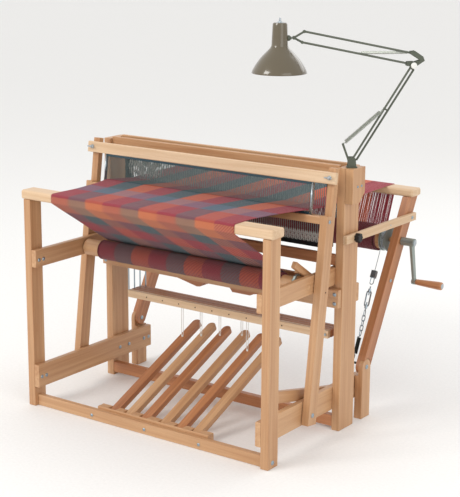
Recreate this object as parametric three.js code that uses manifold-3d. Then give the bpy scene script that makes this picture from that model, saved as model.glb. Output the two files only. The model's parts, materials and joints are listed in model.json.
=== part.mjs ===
// Folding four-shaft floor loom with six treadles, a warp and a web on it, and a balanced-arm lamp.
// Millimetres, +X to the weaver's right, +Y to the back, +Z up.
// Origin: the middle of the front lower rail's underside, on the floor.
import * as THREE from 'three';
import { mergeVertices } from 'three/addons/utils/BufferGeometryUtils.js';
import Module from 'manifold-3d';

const wasm = await Module();
wasm.setup();

// ---- Driving dimensions ----------------------------------------------------------------------
const GAP = 0.3; // between pieces that touch
const RUN = 0.6; // round a turning piece
const EDGE = 1.8; // rounding along a board
const END_EDGE = 0.9; // broken edge round a board's ends

const HALF_WIDTH = 502.5; // outside of the side frames
const POST_THICK = 29;
const POST_DEPTH = 55;
const POST_FRONT = -24;
const RAIL_THICK = 20;

const BREAST_TOP = 762;
const BREAST_THICK = 31;
const BREAST_DEPTH = 65;
const BREAST_OVERHANG = 8.5;
const BREAST_PROUD = 3;
const BREAST_ROUND = 8;

const FRONT_RAIL_HEIGHT = 38;
const LOWER_RAIL_BASE = 70;
const LOWER_RAIL_HEIGHT = 80;
const UPPER_RAIL_BASE = 498;
const UPPER_RAIL_HEIGHT = 60;

const CASTLE_FRONT = 395;
const CASTLE_DEPTH = 91;
const CASTLE_RISE = 11; // of the uprights above the shafts
const CASTLE_BAR_THICK = 20;
const JACK_BAR_BASE = 427;
const JACK_BAR_HEIGHT = 61;
const REST_BAR_DROP = 46; // under the shafts
const REST_BAR_HEIGHT = 35;
const FOOT_BAR_BASE = 11;
const FOOT_BAR_HEIGHT = 39;
const TOP_RAIL_THICK = 13;
const TOP_RAIL_HEIGHT = 56;
const TOP_RAIL_RISE = 6; // above the uprights
const TOP_RAIL_INSET = 11; // behind the castle's front face

const STUB_FRONT = 538;
const STUB_DEPTH = 54;
const LEG_DEPTH = 50;
const LEG_LEAN = 28.3; // degrees back from upright
const FOLD_HEIGHT = 180;
const BACK_BEAM_DROP = 12; // below the breast beam's top
const BACK_BEAM_THICK = 27;
const BACK_BEAM_DEPTH = 62;
const BACK_BEAM_OVERHANG = 12.3;
const BRACE_THICK = 14;
const BRACE_HEIGHT = 27;
const BRACE_LEVEL = 655;
const BRACE_FRONT = 385;
const BRACE_TAIL = 29; // past its rear bolt
const KNOB_RADIUS = 13.5;
const KNOB_LENGTH = 16.5;
const KNOB_LOBES = 7;
const KNOB_INSET = 60; // from the brace's front end

const WARP_BEAM_LEVEL = 578;
const WARP_BEAM_RADIUS = 38;
const WARP_BUILD = 8; // yarn wound on the beam
const DRUM_RADIUS = 43;
const DRUM_WIDTH = 25;
const AXLE_RADIUS = 9;
const CRANK_REACH = 147;
const CRANK_TILT = 11; // degrees
const CRANK_HUB_RADIUS = 14;
const CRANK_HUB_LENGTH = 48;
const GRIP_LENGTH = 100;

const CLOTH_BEAM_Y = 239;
const CLOTH_BEAM_LEVEL = 523;
const CLOTH_BEAM_RADIUS = 28.5;
const CLOTH_BUILD = 6;
const RATCHET_RADIUS = 42;
const RATCHET_TOOTH = 5;
const RATCHET_TEETH = 24;
const RATCHET_WIDTH = 8;
const PAWL_THICK = 15;
const PAWL_DEPTH = 22;

const BEATER_LEAN = 7.6; // degrees back from upright
const BEATER_PIVOT_Y = 231;
const BEATER_PIVOT_Z = 105;
const BEATER_THICK = 26;
const BEATER_BACK = 26; // from the pivot line to the rear edge
const BEATER_FRONT = 22;
const BEATER_TOE = 33;
const SILL_DROP = 13.3; // of the legs' shoulders under the web
const SWORD_DEPTH = 23;
const SWORD_RISE = 13; // above the handtree
const SILL_HEIGHT = 25;
const REED_SIGHT = 101; // from the legs' shoulders to the handtree
const HANDTREE_HEIGHT = 38;
const HANDTREE_THICK = 16.5;
const HANDTREE_OVERHANG = 9.5;
const REED_ROOM = 41.5; // beside the reed
const REED_THICK = 8;
const REED_CENTRE = -5;
const REED_GROOVE = 8;
const REED_BAND = 13;

const SHAFT_ROOM = 45.5; // beside the shafts
const SHAFT_DROP = 137; // of their undersides below the warp
const SHAFT_HEIGHT = 267;
const SHAFT_BAR = 14;
const SHAFT_SIDE = 10;
const SHAFT_THICK = 6.4;
const SHAFT_SPACE = 2.6;

const LAMM_ROOM_LEFT = 71.5;
const LAMM_ROOM_RIGHT = 23.5;
const LAMM_BASE = 311;
const LAMM_HEIGHT = 27;
const LAMM_THICK = 18;
const LAMM_SPACE = 3;

const TREADLE_WIDTH = 32;
const TREADLE_THICK = 20;
const TREADLE_PITCH = 67;
const TREADLE_MID_GAP = 80;
const TREADLE_MIDDLE = 15; // of the row, right of the loom's middle
const TREADLE_SLOPE = 23.3; // degrees
const TREADLE_PIVOT_Y = 28;
const TREADLE_PIVOT_Z = 30;
const TREADLE_NOSE = 8;
const TREADLE_REACH = 519;
const BLOCK_DEPTH = 32;
const BLOCK_SPINE = 4.5;
const BLOCK_BASE = 5;
const BLOCK_TOP = 46;
const BLOCK_END = 58; // past the end treadles' middles
const BLOCK_CLEAR = 1;

const BRAKE_TREADLE_THICK = 18;
const BRAKE_TREADLE_HEIGHT = 38;
const BRAKE_TREADLE_SLOPE = 12.4; // degrees
const BRAKE_PIVOT_Y = 510;
const BRAKE_PIVOT_Z = 101;
const BRAKE_TREADLE_REACH = 424;
const CABLE_RADIUS = 1.6;

const WEB_THICK = 2;
const DRAW_IN = 48; // of each edge of the web, from the reed to the breast beam
const REED_MARGIN = 12; // of the reed beyond the web
const WARP_MARGIN = 16; // of the shafts beyond the warp
const WEB_DROP = 4.5; // of the fell below the breast beam's top
const FELL_Y = 305;
const HEDDLE_DROP = 12.5; // of the heddles' eyes below the fell
const WEB_LIFT = 1.6; // of the cloth's middle off the wood it turns round

const LAMP_BLOCK_THICK = 29;
const LAMP_BLOCK_HEIGHT = 114;
const LAMP_BLOCK_DEPTH = 76;
const LAMP_BLOCK_CHAMFER = 30;
const LAMP_TURN = 40; // degrees from the loom's width to the arms' plane
const LAMP_OUT = 4.5; // of the arms' pivot past the posts' outer faces
const LAMP_INSET = 30; // of the arms' pivot behind the castle's front
const LAMP_PIVOT = 25; // above the castle's top
const LOWER_ARM = [183, 302]; // across and up, pivot to elbow
const UPPER_ARM = [-349, 69]; // elbow to head pin
const ARM_BAR = 7;
const ARM_PAIR = 14; // between the lower arm's two bars
const UPPER_PAIR = 34; // between the upper arm's two bars
const HEAD_PIN = [-26, 14]; // lower bar's end to the shade's tilt pin
const SHADE_OFFSET = 70; // lower bar's end to shade's middle
const SHADE_DROP = 95; // lower bar's end to shade's rim
const SHADE_RIM = 86.5;
const SHADE_WALL = 2;

// ---- Sizes that follow -----------------------------------------------------------------------
const rad = THREE.MathUtils.degToRad;
const POST_INNER = HALF_WIDTH - POST_THICK;
const RAIL_OUTER = POST_INNER - GAP;
const RAIL_INNER = RAIL_OUTER - RAIL_THICK;
const BREAST_BASE = BREAST_TOP - BREAST_THICK;
const BREAST_FRONT = POST_FRONT - BREAST_PROUD;
const FRONT_RAIL_HALF_DEPTH = RAIL_THICK / 2;
const CASTLE_BACK = CASTLE_FRONT + CASTLE_DEPTH;
const STUB_BACK = STUB_FRONT + STUB_DEPTH;
const WEB_LEVEL = BREAST_TOP - WEB_DROP;
const HEDDLE_LEVEL = WEB_LEVEL - HEDDLE_DROP;
const SHAFT_HALF = POST_INNER - SHAFT_ROOM;
const SHAFT_BASE = HEDDLE_LEVEL - SHAFT_DROP;
const CASTLE_HEIGHT = SHAFT_BASE + SHAFT_HEIGHT + CASTLE_RISE;
const REST_BAR_BASE = SHAFT_BASE - REST_BAR_DROP;
const REED_HALF = POST_INNER - REED_ROOM;
const WEB_REED_HALF = REED_HALF - REED_MARGIN;
const WEB_FRONT_HALF = WEB_REED_HALF - DRAW_IN;
const WARP_BACK_HALF = SHAFT_HALF - WARP_MARGIN;
const HANDTREE_HALF = HALF_WIDTH + HANDTREE_OVERHANG;
const LAMM_LEFT = LAMM_ROOM_LEFT - POST_INNER;
const LAMM_RIGHT = POST_INNER - LAMM_ROOM_RIGHT;
const CLOTH_ROLL_RADIUS = CLOTH_BEAM_RADIUS + CLOTH_BUILD;
const WARP_ROLL_RADIUS = WARP_BEAM_RADIUS + WARP_BUILD;
const BACK_BEAM_TOP = BREAST_TOP - BACK_BEAM_DROP;
const LEG_TOP = (WEB_LEVEL - BEATER_PIVOT_Z) / Math.cos(rad(BEATER_LEAN)) - SILL_DROP;
const HANDTREE_BASE = LEG_TOP + REED_SIGHT;
const SWORD_TOP = HANDTREE_BASE + HANDTREE_HEIGHT + SWORD_RISE;
const FOLD_Y = STUB_FRONT + STUB_DEPTH / 2;
const LEAN_TAN = Math.tan(rad(LEG_LEAN));
const legY = (z) => FOLD_Y + (z - FOLD_HEIGHT) * LEAN_TAN;
const BACK_BEAM_BASE = BACK_BEAM_TOP - BACK_BEAM_THICK;
const BACK_BEAM_FRONT = legY(BACK_BEAM_BASE) - BACK_BEAM_DEPTH / 2;
const BACK_BEAM_BACK = BACK_BEAM_FRONT + BACK_BEAM_DEPTH;
const WARP_BEAM_Y = legY(WARP_BEAM_LEVEL);
const ROLL_HALF = WARP_BACK_HALF + 8;
const DRUM_RIGHT = POST_INNER - 12;
const DRUM_LEFT = DRUM_RIGHT - DRUM_WIDTH;
const SHAFT_PITCH = SHAFT_THICK + SHAFT_SPACE;
const LAMM_PITCH = LAMM_THICK + LAMM_SPACE;
const TOP_RAIL_FRONT = CASTLE_FRONT + TOP_RAIL_INSET;
const SHAFT_FRONT = TOP_RAIL_FRONT + TOP_RAIL_THICK + SHAFT_SPACE;
const TOP_RAIL_BACK = SHAFT_FRONT + 4 * SHAFT_PITCH;
const LAMM_FRONT = CASTLE_FRONT + 2;

// ---- Materials -------------------------------------------------------------------------------
function finish(colour, roughness, metalness) {
  return { color: new THREE.Color(colour), roughness, metalness };
}
const PALE_WOOD = finish('#e0bd8c', 0.5, 0);
const WARM_WOOD = finish('#cf9a66', 0.5, 0);
const RED_WOOD = finish('#b9754a', 0.5, 0);
const STEEL = finish('#8b9092', 0.35, 1);
const BLACK_STEEL = finish('#1d211f', 0.5, 0.6);
const CAST_IRON = finish('#6c716b', 0.5, 1);
const LAMP_ENAMEL = finish('#5a5140', 0.25, 0.1);
const LAMP_STEEL = finish('#4b5148', 0.4, 0.6);
const WEB_CLOTH = finish('#b4525a', 0.9, 0);
const ROLLED_CLOTH = finish('#80333a', 0.9, 0);
const WARP_YARN = finish('#b5404c', 0.9, 0);

// ---- Shapes ----------------------------------------------------------------------------------
// One shared vertex at each corner, and no triangle that has shrunk to a line.
function welded(geometry) {
  geometry.deleteAttribute('normal');
  geometry.deleteAttribute('uv');
  const merged = mergeVertices(geometry, 1e-3);
  const index = merged.index.array;
  const kept = [];
  for (let i = 0; i < index.length; i += 3) {
    const [a, b, c] = [index[i], index[i + 1], index[i + 2]];
    if (a !== b && b !== c && c !== a) {
      kept.push(a, b, c);
    }
  }
  merged.setIndex(kept);
  merged.clearGroups();
  return merged;
}

function outline(points) {
  return new THREE.Shape(points.map(([a, b]) => new THREE.Vector2(a, b)));
}

function roundedRect(a0, a1, b0, b1, r = EDGE) {
  const shape = new THREE.Shape();
  shape.moveTo(a0 + r, b0);
  shape.lineTo(a1 - r, b0);
  shape.absarc(a1 - r, b0 + r, r, -Math.PI / 2, 0);
  shape.lineTo(a1, b1 - r);
  shape.absarc(a1 - r, b1 - r, r, 0, Math.PI / 2);
  shape.lineTo(a0 + r, b1);
  shape.absarc(a0 + r, b1 - r, r, Math.PI / 2, Math.PI);
  shape.lineTo(a0, b0 + r);
  shape.absarc(a0 + r, b0 + r, r, Math.PI, 1.5 * Math.PI);
  return shape;
}

function circle(a, b, r) {
  const shape = new THREE.Shape();
  shape.absarc(a, b, r, 0, 2 * Math.PI);
  return shape;
}

function extruded(shape, length, edge, curveSegments, edgeSegments = 1) {
  const bevelled = edge > 0;
  const geometry = new THREE.ExtrudeGeometry(shape, {
    depth: length - 2 * edge,
    bevelEnabled: bevelled,
    bevelThickness: edge,
    bevelSize: edge,
    bevelOffset: -edge,
    bevelSegments: edgeSegments,
    curveSegments,
    steps: 1,
  });
  return welded(geometry).translate(0, 0, edge);
}

function placed(geometry, xAxis, yAxis, zAxis, origin) {
  const matrix = new THREE.Matrix4().makeBasis(xAxis, yAxis, zAxis).setPosition(origin);
  return geometry.applyMatrix4(matrix);
}

const X = new THREE.Vector3(1, 0, 0);
const Y = new THREE.Vector3(0, 1, 0);
const Z = new THREE.Vector3(0, 0, 1);
const MINUS_Y = new THREE.Vector3(0, -1, 0);

// A shape drawn in (y, z), run along X.
function alongX(shape, x0, x1, edge = END_EDGE, curve = 1) {
  return placed(extruded(shape, x1 - x0, edge, curve), Y, Z, X, new THREE.Vector3(x0, 0, 0));
}

// A shape drawn in (x, z), run along Y.
function alongY(shape, y0, y1, edge = END_EDGE, curve = 1) {
  return placed(extruded(shape, y1 - y0, edge, curve), X, Z, MINUS_Y, new THREE.Vector3(0, y1, 0));
}

// A shape drawn in (x, y), run along Z.
function alongZ(shape, z0, z1, edge = END_EDGE, curve = 1) {
  return extruded(shape, z1 - z0, edge, curve).translate(0, 0, z0);
}

function block(x0, x1, y0, y1, z0, z1) {
  const geometry = welded(new THREE.BoxGeometry(x1 - x0, y1 - y0, z1 - z0));
  return geometry.translate((x0 + x1) / 2, (y0 + y1) / 2, (z0 + z1) / 2);
}

// A turned piece about a line along X: profile is a list of [x, radius].
function turnedX(profile, y = 0, z = 0, segments = 32) {
  const points = profile.map(([x, r]) => new THREE.Vector2(r, x));
  const geometry = welded(new THREE.LatheGeometry(points, segments));
  return geometry.rotateZ(-Math.PI / 2).translate(0, y, z);
}

function rodX(x0, x1, r, y, z, segments = 24) {
  return turnedX([[x0, 0], [x0, r], [x1, r], [x1, 0]], y, z, segments);
}

// A round bar between two points.
function rod(from, to, r, segments = 10) {
  const start = new THREE.Vector3(...from);
  const end = new THREE.Vector3(...to);
  const geometry = welded(new THREE.CylinderGeometry(r, r, start.distanceTo(end), segments));
  const turn = new THREE.Quaternion().setFromUnitVectors(Y, end.clone().sub(start).normalize());
  geometry.applyQuaternion(turn);
  const middle = start.add(end).multiplyScalar(0.5);
  return geometry.translate(middle.x, middle.y, middle.z);
}

// A flat strip of cloth: path is a list of [y, z, half width] along its middle.
function strip(path, thick) {
  const positions = [];
  path.forEach(([y, z, half], i) => {
    const before = path[Math.max(i - 1, 0)];
    const after = path[Math.min(i + 1, path.length - 1)];
    const along = new THREE.Vector2(after[0] - before[0], after[1] - before[1]).normalize();
    const ny = (-along.y * thick) / 2;
    const nz = (along.x * thick) / 2;
    positions.push(-half, y + ny, z + nz, half, y + ny, z + nz);
    positions.push(half, y - ny, z - nz, -half, y - ny, z - nz);
  });
  const index = [];
  for (let i = 0; i + 1 < path.length; i += 1) {
    for (let k = 0; k < 4; k += 1) {
      const a = 4 * i + k;
      const b = 4 * i + ((k + 1) % 4);
      index.push(a, b, b + 4, a, b + 4, a + 4);
    }
  }
  const last = 4 * (path.length - 1);
  index.push(0, 2, 1, 0, 3, 2, last, last + 1, last + 2, last, last + 2, last + 3);
  const geometry = new THREE.BufferGeometry();
  geometry.setAttribute('position', new THREE.Float32BufferAttribute(positions, 3));
  geometry.setIndex(index);
  return geometry;
}

// ---- Joining and cutting ---------------------------------------------------------------------
function solid(geometry) {
  const vertProperties = new Float32Array(geometry.attributes.position.array);
  const triVerts = new Uint32Array(geometry.index.array);
  return new wasm.Manifold(new wasm.Mesh({ numProp: 3, vertProperties, triVerts }));
}

function surface(manifold) {
  const mesh = manifold.getMesh();
  const geometry = new THREE.BufferGeometry();
  geometry.setAttribute('position', new THREE.Float32BufferAttribute(mesh.vertProperties, 3));
  geometry.setIndex(Array.from(mesh.triVerts));
  return geometry;
}

function join(first, ...others) {
  return surface(others.reduce((sum, next) => sum.add(solid(next)), solid(first)));
}

function cut(body, ...tools) {
  return surface(tools.reduce((sum, next) => sum.subtract(solid(next)), solid(body)));
}

// ---- The assembly ----------------------------------------------------------------------------
const loom = new THREE.Group();

function part(name, geometry, look, parent = loom) {
  const mesh = new THREE.Mesh(geometry, new THREE.MeshStandardMaterial(look));
  mesh.name = name;
  parent.add(mesh);
  return mesh;
}

// Left and right copies: make(side) draws the piece for side -1 or +1.
function pair(name, make, look, parent = loom) {
  part(`${name}_left`, make(-1), look, parent);
  part(`${name}_right`, make(1), look, parent);
}

function span(side, inner, outer) {
  return side > 0 ? [inner, outer] : [-outer, -inner];
}

// ---- Front and side frames -------------------------------------------------------------------
function sideFrames() {
  const postTop = BREAST_BASE - GAP;
  pair('front_post', (side) => {
    const [x0, x1] = span(side, POST_INNER, HALF_WIDTH);
    return alongZ(roundedRect(x0, x1, POST_FRONT, POST_FRONT + POST_DEPTH), 0, postTop);
  }, WARM_WOOD);

  const beamHalf = HALF_WIDTH + BREAST_OVERHANG;
  const beamBack = BREAST_FRONT + BREAST_DEPTH;
  const beam = roundedRect(BREAST_FRONT, beamBack, BREAST_BASE, BREAST_TOP, BREAST_ROUND);
  part('breast_beam', alongX(beam, -beamHalf, beamHalf, 4, 4), PALE_WOOD);

  const depth = FRONT_RAIL_HALF_DEPTH;
  const front = roundedRect(-depth, depth, 0, FRONT_RAIL_HEIGHT);
  part('front_lower_rail', alongX(front, -RAIL_OUTER, RAIL_OUTER), WARM_WOOD);

  const lowerTop = LOWER_RAIL_BASE + LOWER_RAIL_HEIGHT;
  pair('lower_rail', (side) => {
    const [x0, x1] = span(side, RAIL_INNER, RAIL_OUTER);
    return alongY(roundedRect(x0, x1, LOWER_RAIL_BASE, lowerTop), POST_FRONT, STUB_BACK);
  }, WARM_WOOD);

  const upperTop = UPPER_RAIL_BASE + UPPER_RAIL_HEIGHT;
  pair('upper_rail', (side) => {
    const [x0, x1] = span(side, RAIL_INNER, RAIL_OUTER);
    const board = alongY(roundedRect(x0, x1, UPPER_RAIL_BASE, upperTop), POST_FRONT, CASTLE_BACK);
    const bore = rodX(x0 - 5, x1 + 5, AXLE_RADIUS + RUN, CLOTH_BEAM_Y, CLOTH_BEAM_LEVEL);
    return cut(board, bore);
  }, WARM_WOOD);
}

// ---- Castle ----------------------------------------------------------------------------------
function castle() {
  pair('castle_upright', (side) => {
    const [x0, x1] = span(side, POST_INNER, HALF_WIDTH);
    return alongZ(roundedRect(x0, x1, CASTLE_FRONT, CASTLE_BACK), 0, CASTLE_HEIGHT);
  }, WARM_WOOD);

  const cross = (y0, y1, z0, height) => roundedRect(y0, y1, z0, z0 + height);
  const outerHalf = HALF_WIDTH - 3;
  const frontFace = CASTLE_FRONT - GAP;
  const backFace = CASTLE_BACK + GAP;
  const jackFront = cross(frontFace - CASTLE_BAR_THICK, frontFace, JACK_BAR_BASE, JACK_BAR_HEIGHT);
  part('castle_front_crossbar', alongX(jackFront, -outerHalf, outerHalf), WARM_WOOD);
  const jackBack = cross(backFace, backFace + CASTLE_BAR_THICK, JACK_BAR_BASE, JACK_BAR_HEIGHT);
  part('castle_rear_crossbar', alongX(jackBack, -outerHalf, outerHalf), WARM_WOOD);

  const barBack = CASTLE_FRONT + 5 + CASTLE_BAR_THICK;
  const innerHalf = POST_INNER - GAP;
  const rest = cross(CASTLE_FRONT + 5, barBack, REST_BAR_BASE, REST_BAR_HEIGHT);
  part('castle_mid_crossbar', alongX(rest, -innerHalf, innerHalf), RED_WOOD);
  const foot = cross(CASTLE_FRONT + 2, barBack, FOOT_BAR_BASE, FOOT_BAR_HEIGHT);
  part('castle_lower_crossbar', alongX(foot, -innerHalf, innerHalf), RED_WOOD);

  const railBase = CASTLE_HEIGHT + TOP_RAIL_RISE - TOP_RAIL_HEIGHT;
  const topFront = cross(TOP_RAIL_FRONT, TOP_RAIL_FRONT + TOP_RAIL_THICK, railBase, TOP_RAIL_HEIGHT);
  part('castle_top_rail_front', alongX(topFront, -innerHalf, innerHalf), WARM_WOOD);
  const topBack = cross(TOP_RAIL_BACK, TOP_RAIL_BACK + TOP_RAIL_THICK, railBase, TOP_RAIL_HEIGHT);
  part('castle_top_rail_rear', alongX(topBack, -innerHalf, innerHalf), WARM_WOOD);

  const y0 = CASTLE_FRONT;
  const y1 = y0 + LAMP_BLOCK_DEPTH;
  const z0 = CASTLE_HEIGHT - LAMP_BLOCK_HEIGHT;
  const z1 = CASTLE_HEIGHT;
  const c = LAMP_BLOCK_CHAMFER;
  const side = outline([[y0, z0], [y1 - c, z0], [y1, z0 + c], [y1, z1], [y0, z1]]);
  const blockInner = HALF_WIDTH + GAP;
  part('lamp_block', alongX(side, blockInner, blockInner + LAMP_BLOCK_THICK), WARM_WOOD);
}

// ---- Folding back ----------------------------------------------------------------------------
// The stub's outer half and the leg's inner half lap at the fold pivot.
function foldingBack() {
  const lapMiddle = POST_INNER + POST_THICK / 2;
  const stubOuter = HALF_WIDTH + 2;
  const stubInner = POST_INNER + 2;
  const legRadius = LEG_DEPTH / 2;
  const stubRadius = STUB_DEPTH / 2;
  const clear = 1.5;

  const stubShape = new THREE.Shape();
  stubShape.moveTo(STUB_FRONT, 0);
  stubShape.lineTo(STUB_BACK, 0);
  stubShape.lineTo(STUB_BACK, FOLD_HEIGHT);
  stubShape.absarc(FOLD_Y, FOLD_HEIGHT, stubRadius, 0, Math.PI);
  pair('back_stub', (side) => {
    const [x0, x1] = span(side, stubInner, stubOuter);
    const [cut0, cut1] = span(side, stubInner - 5, lapMiddle + GAP);
    const shoulder = FOLD_HEIGHT - stubRadius - clear;
    const lap = block(cut0, cut1, STUB_FRONT - 5, STUB_BACK + 5, shoulder, FOLD_HEIGHT + STUB_DEPTH);
    return cut(alongX(stubShape, x0, x1, END_EDGE, 10), lap);
  }, WARM_WOOD);

  const lean = rad(LEG_LEAN);
  const along = [Math.sin(lean), Math.cos(lean)];
  const across = [Math.cos(lean), -Math.sin(lean)];
  const legTop = BACK_BEAM_BASE - GAP;
  const atTop = (offset) => {
    const z0 = FOLD_HEIGHT + offset * across[1];
    const reach = (legTop - z0) / along[1];
    return [FOLD_Y + offset * across[0] + reach * along[0], legTop];
  };
  const legShape = new THREE.Shape();
  legShape.moveTo(...atTop(legRadius));
  legShape.lineTo(...atTop(-legRadius));
  legShape.absarc(FOLD_Y, FOLD_HEIGHT, legRadius, Math.PI - lean, 2 * Math.PI - lean);
  pair('back_leg', (side) => {
    const [x0, x1] = span(side, stubInner, stubOuter);
    const [cut0, cut1] = span(side, lapMiddle - GAP, stubOuter + 5);
    const leg = alongX(legShape, x0, x1, END_EDGE, 10);
    const lap = rodX(cut0, cut1, stubRadius + clear, FOLD_Y, FOLD_HEIGHT, 48);
    const axleBore = rodX(x0 - 5, x1 + 5, AXLE_RADIUS + RUN, WARP_BEAM_Y, WARP_BEAM_LEVEL);
    return cut(leg, lap, axleBore);
  }, RED_WOOD);

  const beamHalf = HALF_WIDTH + BACK_BEAM_OVERHANG;
  const beam = roundedRect(BACK_BEAM_FRONT, BACK_BEAM_BACK, BACK_BEAM_BASE, BACK_BEAM_TOP, BREAST_ROUND);
  part('back_beam', alongX(beam, -beamHalf, beamHalf, 4, 4), PALE_WOOD);

  const braceBack = legY(BRACE_LEVEL) + BRACE_TAIL;
  const half = BRACE_HEIGHT / 2;
  const knobShape = outline(Array.from({ length: 4 * KNOB_LOBES }, (_, i) => {
    const angle = (i / (2 * KNOB_LOBES)) * Math.PI;
    const radius = KNOB_RADIUS * (1 + 0.14 * Math.cos(KNOB_LOBES * angle));
    return [BRACE_FRONT + KNOB_INSET + radius * Math.cos(angle), BRACE_LEVEL + radius * Math.sin(angle)];
  }));
  pair('brace', (side) => {
    const inner = stubOuter + 2;
    const [x0, x1] = span(side, inner, inner + BRACE_THICK);
    const shape = roundedRect(x0, x1, BRACE_LEVEL - half, BRACE_LEVEL + half);
    const [knob0, knob1] = span(side, inner + BRACE_THICK - 1, inner + BRACE_THICK + KNOB_LENGTH);
    const knob = alongX(knobShape, knob0, knob1, END_EDGE);
    return join(alongY(shape, BRACE_FRONT, braceBack), knob);
  }, PALE_WOOD);
}

// ---- Warp beam, its brake and crank ----------------------------------------------------------
function warpBeam() {
  const y = WARP_BEAM_Y;
  const z = WARP_BEAM_LEVEL;
  const legOuter = HALF_WIDTH + 2;
  const left = -(POST_INNER - 4);
  const right = DRUM_LEFT - GAP;
  const r = WARP_BEAM_RADIUS;
  const axle = AXLE_RADIUS;
  const hubEnd = legOuter + 3 + CRANK_HUB_LENGTH;
  part('warp_beam', turnedX([
    [-legOuter, 0], [-legOuter, axle], [left, axle], [left, r - EDGE], [left + EDGE, r],
    [right - EDGE, r], [right, r - EDGE], [right, axle], [hubEnd - 6, axle], [hubEnd - 6, 0],
  ], y, z, 36), WARM_WOOD);

  const inner = r + GAP;
  part('warp_roll', turnedX([
    [-ROLL_HALF, inner], [-ROLL_HALF, WARP_ROLL_RADIUS - 3], [3 - ROLL_HALF, WARP_ROLL_RADIUS],
    [ROLL_HALF - 3, WARP_ROLL_RADIUS], [ROLL_HALF, WARP_ROLL_RADIUS - 3], [ROLL_HALF, inner],
    [-ROLL_HALF, inner],
  ], y, z, 36), WARP_YARN);

  const bore = axle + GAP;
  const flange = 4;
  const groove = DRUM_RADIUS - 6;
  part('brake_drum', turnedX([
    [DRUM_LEFT, bore], [DRUM_LEFT, DRUM_RADIUS], [DRUM_LEFT + flange, DRUM_RADIUS],
    [DRUM_LEFT + flange, groove], [DRUM_RIGHT - flange, groove], [DRUM_RIGHT - flange, DRUM_RADIUS],
    [DRUM_RIGHT, DRUM_RADIUS], [DRUM_RIGHT, bore], [DRUM_LEFT, bore],
  ], y, z, 36), CAST_IRON);

  const hubStart = legOuter + 3;
  const footY = CRANK_REACH * Math.sin(rad(CRANK_TILT));
  const footZ = -CRANK_REACH * Math.cos(rad(CRANK_TILT));
  const armShape = outline([
    [y - 10, z], [y + footY - 7, z + footZ], [y + footY + 7, z + footZ], [y + 10, z],
  ]);
  const hub = rodX(hubStart, hubEnd, CRANK_HUB_RADIUS, y, z, 28);
  const arm = alongX(armShape, hubEnd - 17, hubEnd - 5, 2);
  const boss = rodX(hubEnd - 18, hubEnd - 3, 10, y + footY, z + footZ, 20);
  const hubBore = rodX(hubStart - 1, hubEnd - 6 + GAP, bore, y, z);
  part('crank_arm', cut(join(hub, arm, boss), hubBore), CAST_IRON);

  const gripStart = hubEnd - 3 + GAP;
  const gripEnd = gripStart + GRIP_LENGTH;
  part('crank_grip', turnedX([
    [gripStart, 0], [gripStart, 9], [gripStart + 4, 10], [gripEnd - 12, 14], [gripEnd - 3, 13.5],
    [gripEnd, 11], [gripEnd, 0],
  ], y + footY, z + footZ, 24), RED_WOOD);
}

// ---- Brake cable and treadle -----------------------------------------------------------------
// The cable's middle line, [y, z], from under the drum down the front of the right back leg.
const CABLE_ROUTE = [
  [736, 556], [724, 530], [708, 498], [694, 470], [678, 440], [662, 405], [648, 370],
  [634, 335], [620, 300], [606, 262], [590, 228], [576, 200], [566, 186],
];
const CABLE_X = DRUM_RIGHT - DRUM_WIDTH / 2;

function brake() {
  const points = CABLE_ROUTE.map(([y, z]) => new THREE.Vector3(CABLE_X, y, z));
  const route = new THREE.CatmullRomCurve3(points, false, 'centripetal');
  const cable = new THREE.ExtrudeGeometry(circle(0, 0, CABLE_RADIUS), {
    steps: 36, extrudePath: route, bevelEnabled: false, curveSegments: 4,
  });
  part('brake_cable', cable, STEEL);

  const half = BRAKE_TREADLE_HEIGHT / 2;
  const bar = roundedRect(-BRAKE_TREADLE_REACH, half, -half, half, 3);
  const x1 = RAIL_INNER - 4;
  const mesh = part('brake_treadle', alongX(bar, x1 - BRAKE_TREADLE_THICK, x1), WARM_WOOD);
  mesh.position.set(0, BRAKE_PIVOT_Y, BRAKE_PIVOT_Z);
  mesh.rotation.x = -rad(BRAKE_TREADLE_SLOPE);
}

// ---- Cloth beam, ratchet and pawl ------------------------------------------------------------
const RATCHET_RIGHT = RAIL_INNER - PAWL_THICK - 2;
const RATCHET_LEFT = RATCHET_RIGHT - RATCHET_WIDTH;

function ratchetWheel() {
  const points = [];
  for (let i = 0; i < RATCHET_TEETH; i += 1) {
    const angle = (2 * Math.PI * i) / RATCHET_TEETH;
    const root = RATCHET_RADIUS - RATCHET_TOOTH;
    points.push([root * Math.cos(angle), root * Math.sin(angle)]);
    points.push([RATCHET_RADIUS * Math.cos(angle), RATCHET_RADIUS * Math.sin(angle)]);
  }
  const wheel = outline(points.map(([y, z]) => [CLOTH_BEAM_Y + y, CLOTH_BEAM_LEVEL + z]));
  return alongX(wheel, RATCHET_LEFT, RATCHET_RIGHT, 0);
}

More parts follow.
